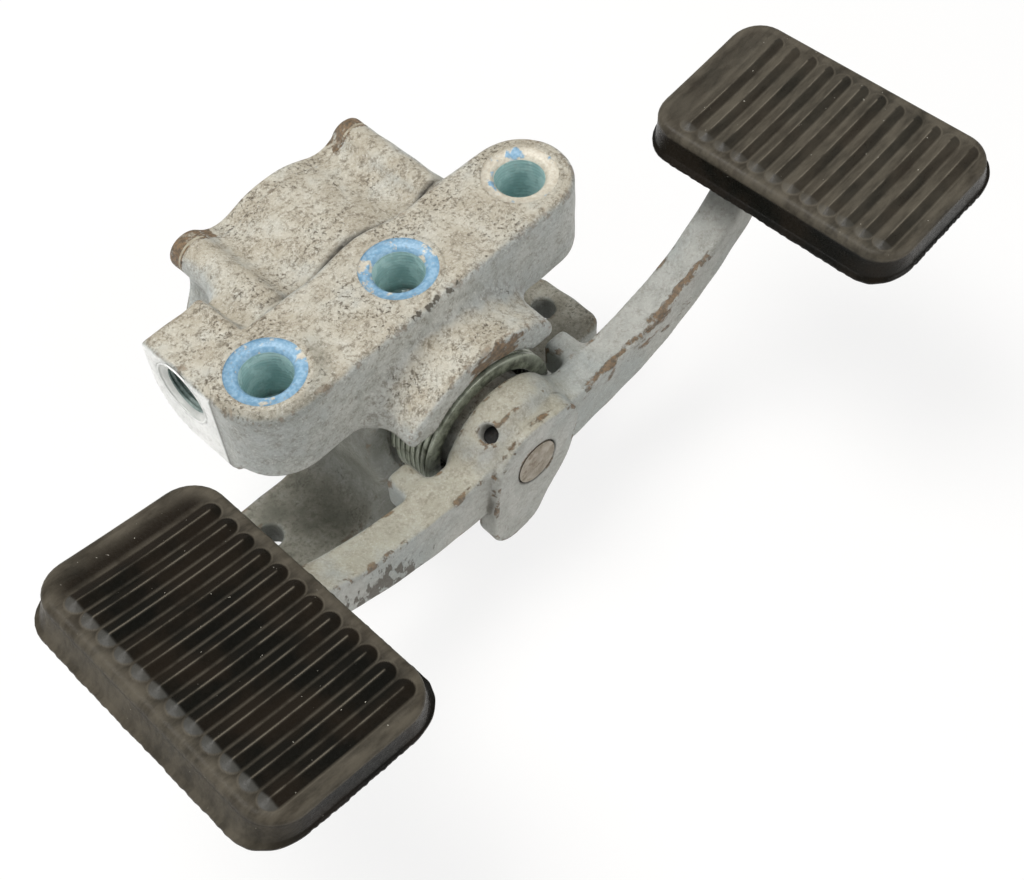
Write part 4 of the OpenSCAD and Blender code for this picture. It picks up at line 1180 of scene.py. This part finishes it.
finish_nodes(
    ["pivot_shaft"], "stained_shaft",
    (0.34, 0.31, 0.26), (0.22, 0.19, 0.145), (0.14, 0.10, 0.06), 0.5, 0.4,
)
finish_nodes(
    ["lever_pin"], "dark_pin",
    (0.012, 0.012, 0.011), (0.006, 0.006, 0.006), (0.015, 0.011, 0.008), 0.8, 0.0,
)
finish_nodes(
    ["cover_screws", "cover_washers"], "rusty_screws",
    (0.26, 0.22, 0.17), (0.16, 0.12, 0.08), (0.18, 0.09, 0.04), 0.55, 0.5,
)
finish_nodes(
    ["cover_gasket"], "gasket_fibre",
    (0.40, 0.37, 0.29), (0.30, 0.27, 0.20), (0.24, 0.20, 0.14), 0.7, 0.0,
)
finish_nodes(
    ["seat_plate", "rotor", "front_bush", "inner_bush", "thrust_washer"], "machined_bronze",
    (0.52, 0.36, 0.16), (0.40, 0.26, 0.10), (0.28, 0.19, 0.09), 0.35,
)
finish_nodes(
    ["seat_dowels", "rotor_spring", "spring_backing_ring", "shaft_clip"], "ground_steel",
    (0.50, 0.50, 0.49), (0.38, 0.38, 0.37), (0.26, 0.24, 0.21), 0.35,
)
finish_nodes(
    ["seat_seals", "shaft_seal"], "seal_rubber",
    (0.022, 0.022, 0.021), (0.013, 0.013, 0.013), (0.035, 0.033, 0.03), 0.6, 0.0,
)

# Floor, light and camera

scene = bpy.context.scene
scene.view_settings.view_transform = "Standard"

FLOOR_HALF = 3.0
FLOOR_Z = -0.0002
FLOOR_SEEN = 0.80
floor_mesh = bpy.data.meshes.new("floor")
floor_corners = ((-1, -1), (1, -1), (1, 1), (-1, 1))
floor_points = [(x * FLOOR_HALF, y * FLOOR_HALF, FLOOR_Z) for x, y in floor_corners]
floor_mesh.from_pydata(floor_points, [], [(0, 1, 2, 3)])
floor = bpy.data.objects.new("floor", floor_mesh)
scene.collection.objects.link(floor)


def floor_finish():
    """Pale floor that shows white to the camera and in gloss, and still takes the shadow."""
    f = Finish("studio_floor", roughness=0.9, specular=0.0)
    f.coat((0.86, 0.85, 0.83))
    glow = f.node("ShaderNodeEmission", {"Color": (1.0, 1.0, 1.0), "Strength": 1.0})
    path = f.node("ShaderNodeLightPath")
    seen = f.most(path.outputs["Is Camera Ray"], f.times(path.outputs["Is Glossy Ray"], 0.5))
    shaders = {1: f.shader.outputs[0], 2: glow.outputs[0]}
    both = f.node("ShaderNodeMixShader", {0: f.times(seen, FLOOR_SEEN), **shaders})
    f.tree.links.new(both.outputs[0], f.tree.nodes["Material Output"].inputs["Surface"])
    return f.material


floor_mesh.materials.append(floor_finish())

world = bpy.data.worlds.new("studio")
scene.world = world
world.use_nodes = True
sky = world.node_tree.nodes["Background"]
sky.inputs["Color"].default_value = (1.0, 1.0, 1.0, 1.0)
# White behind the floor's edge, and a plain level of light on the object
sky_path = world.node_tree.nodes.new("ShaderNodeLightPath")
sky_level = world.node_tree.nodes.new("ShaderNodeMapRange")
sky_level.inputs["To Min"].default_value = 0.30
sky_level.inputs["To Max"].default_value = 1.0
world.node_tree.links.new(sky_path.outputs["Is Camera Ray"], sky_level.inputs["Value"])
world.node_tree.links.new(sky_level.outputs["Result"], sky.inputs["Strength"])

LAMP_TARGET = (0, 0, 0.05)


def lamp(name, place, size, power, colour):
    """Square soft light at a place in metres, aimed at the middle of the object."""
    data = bpy.data.lights.new(name, "AREA")
    data.size = size
    data.energy = power
    data.color = colour
    made = bpy.data.objects.new(name, data)
    way = np.array(LAMP_TARGET) - np.array(place)
    heading = math.atan2(way[0], way[1])
    dip = math.atan2(-way[2], math.hypot(way[0], way[1]))
    turn = Matrix.Rotation(-heading, 4, "Z") @ Matrix.Rotation(TURN / 4 - dip, 4, "X")
    made.matrix_world = Matrix.Translation(place) @ turn
    scene.collection.objects.link(made)


lamp("window_light", (-0.22, 0.36, 1.25), 0.7, 15.5, (1.0, 0.985, 0.96))
lamp("front_fill", (0.3, -1.2, 0.8), 0.9, 8.0, (1.0, 0.98, 0.96))
lamp("left_fill", (-1.2, 0.2, 0.35), 0.6, 3.0, (1.0, 0.99, 0.98))

CAMERA_PLACE = (-0.18158, -0.24347, 0.43218)
CAMERA_HEADING = math.radians(43.26)
CAMERA_DIP = math.radians(55.457)
CAMERA_ROLL = math.radians(-3.365)
camera_data = bpy.data.cameras.new("camera")
camera_data.sensor_fit = "HORIZONTAL"
camera_data.sensor_width = 36.0
camera_data.lens = 51.0
camera_data.clip_start = 0.01
camera = bpy.data.objects.new("camera", camera_data)
camera.matrix_world = (
    Matrix.Translation(CAMERA_PLACE)
    @ Matrix.Rotation(-CAMERA_HEADING, 4, "Z")
    @ Matrix.Rotation(TURN / 4 - CAMERA_DIP, 4, "X")
    @ Matrix.Rotation(CAMERA_ROLL, 4, "Z")
)
scene.collection.objects.link(camera)
scene.camera = camera
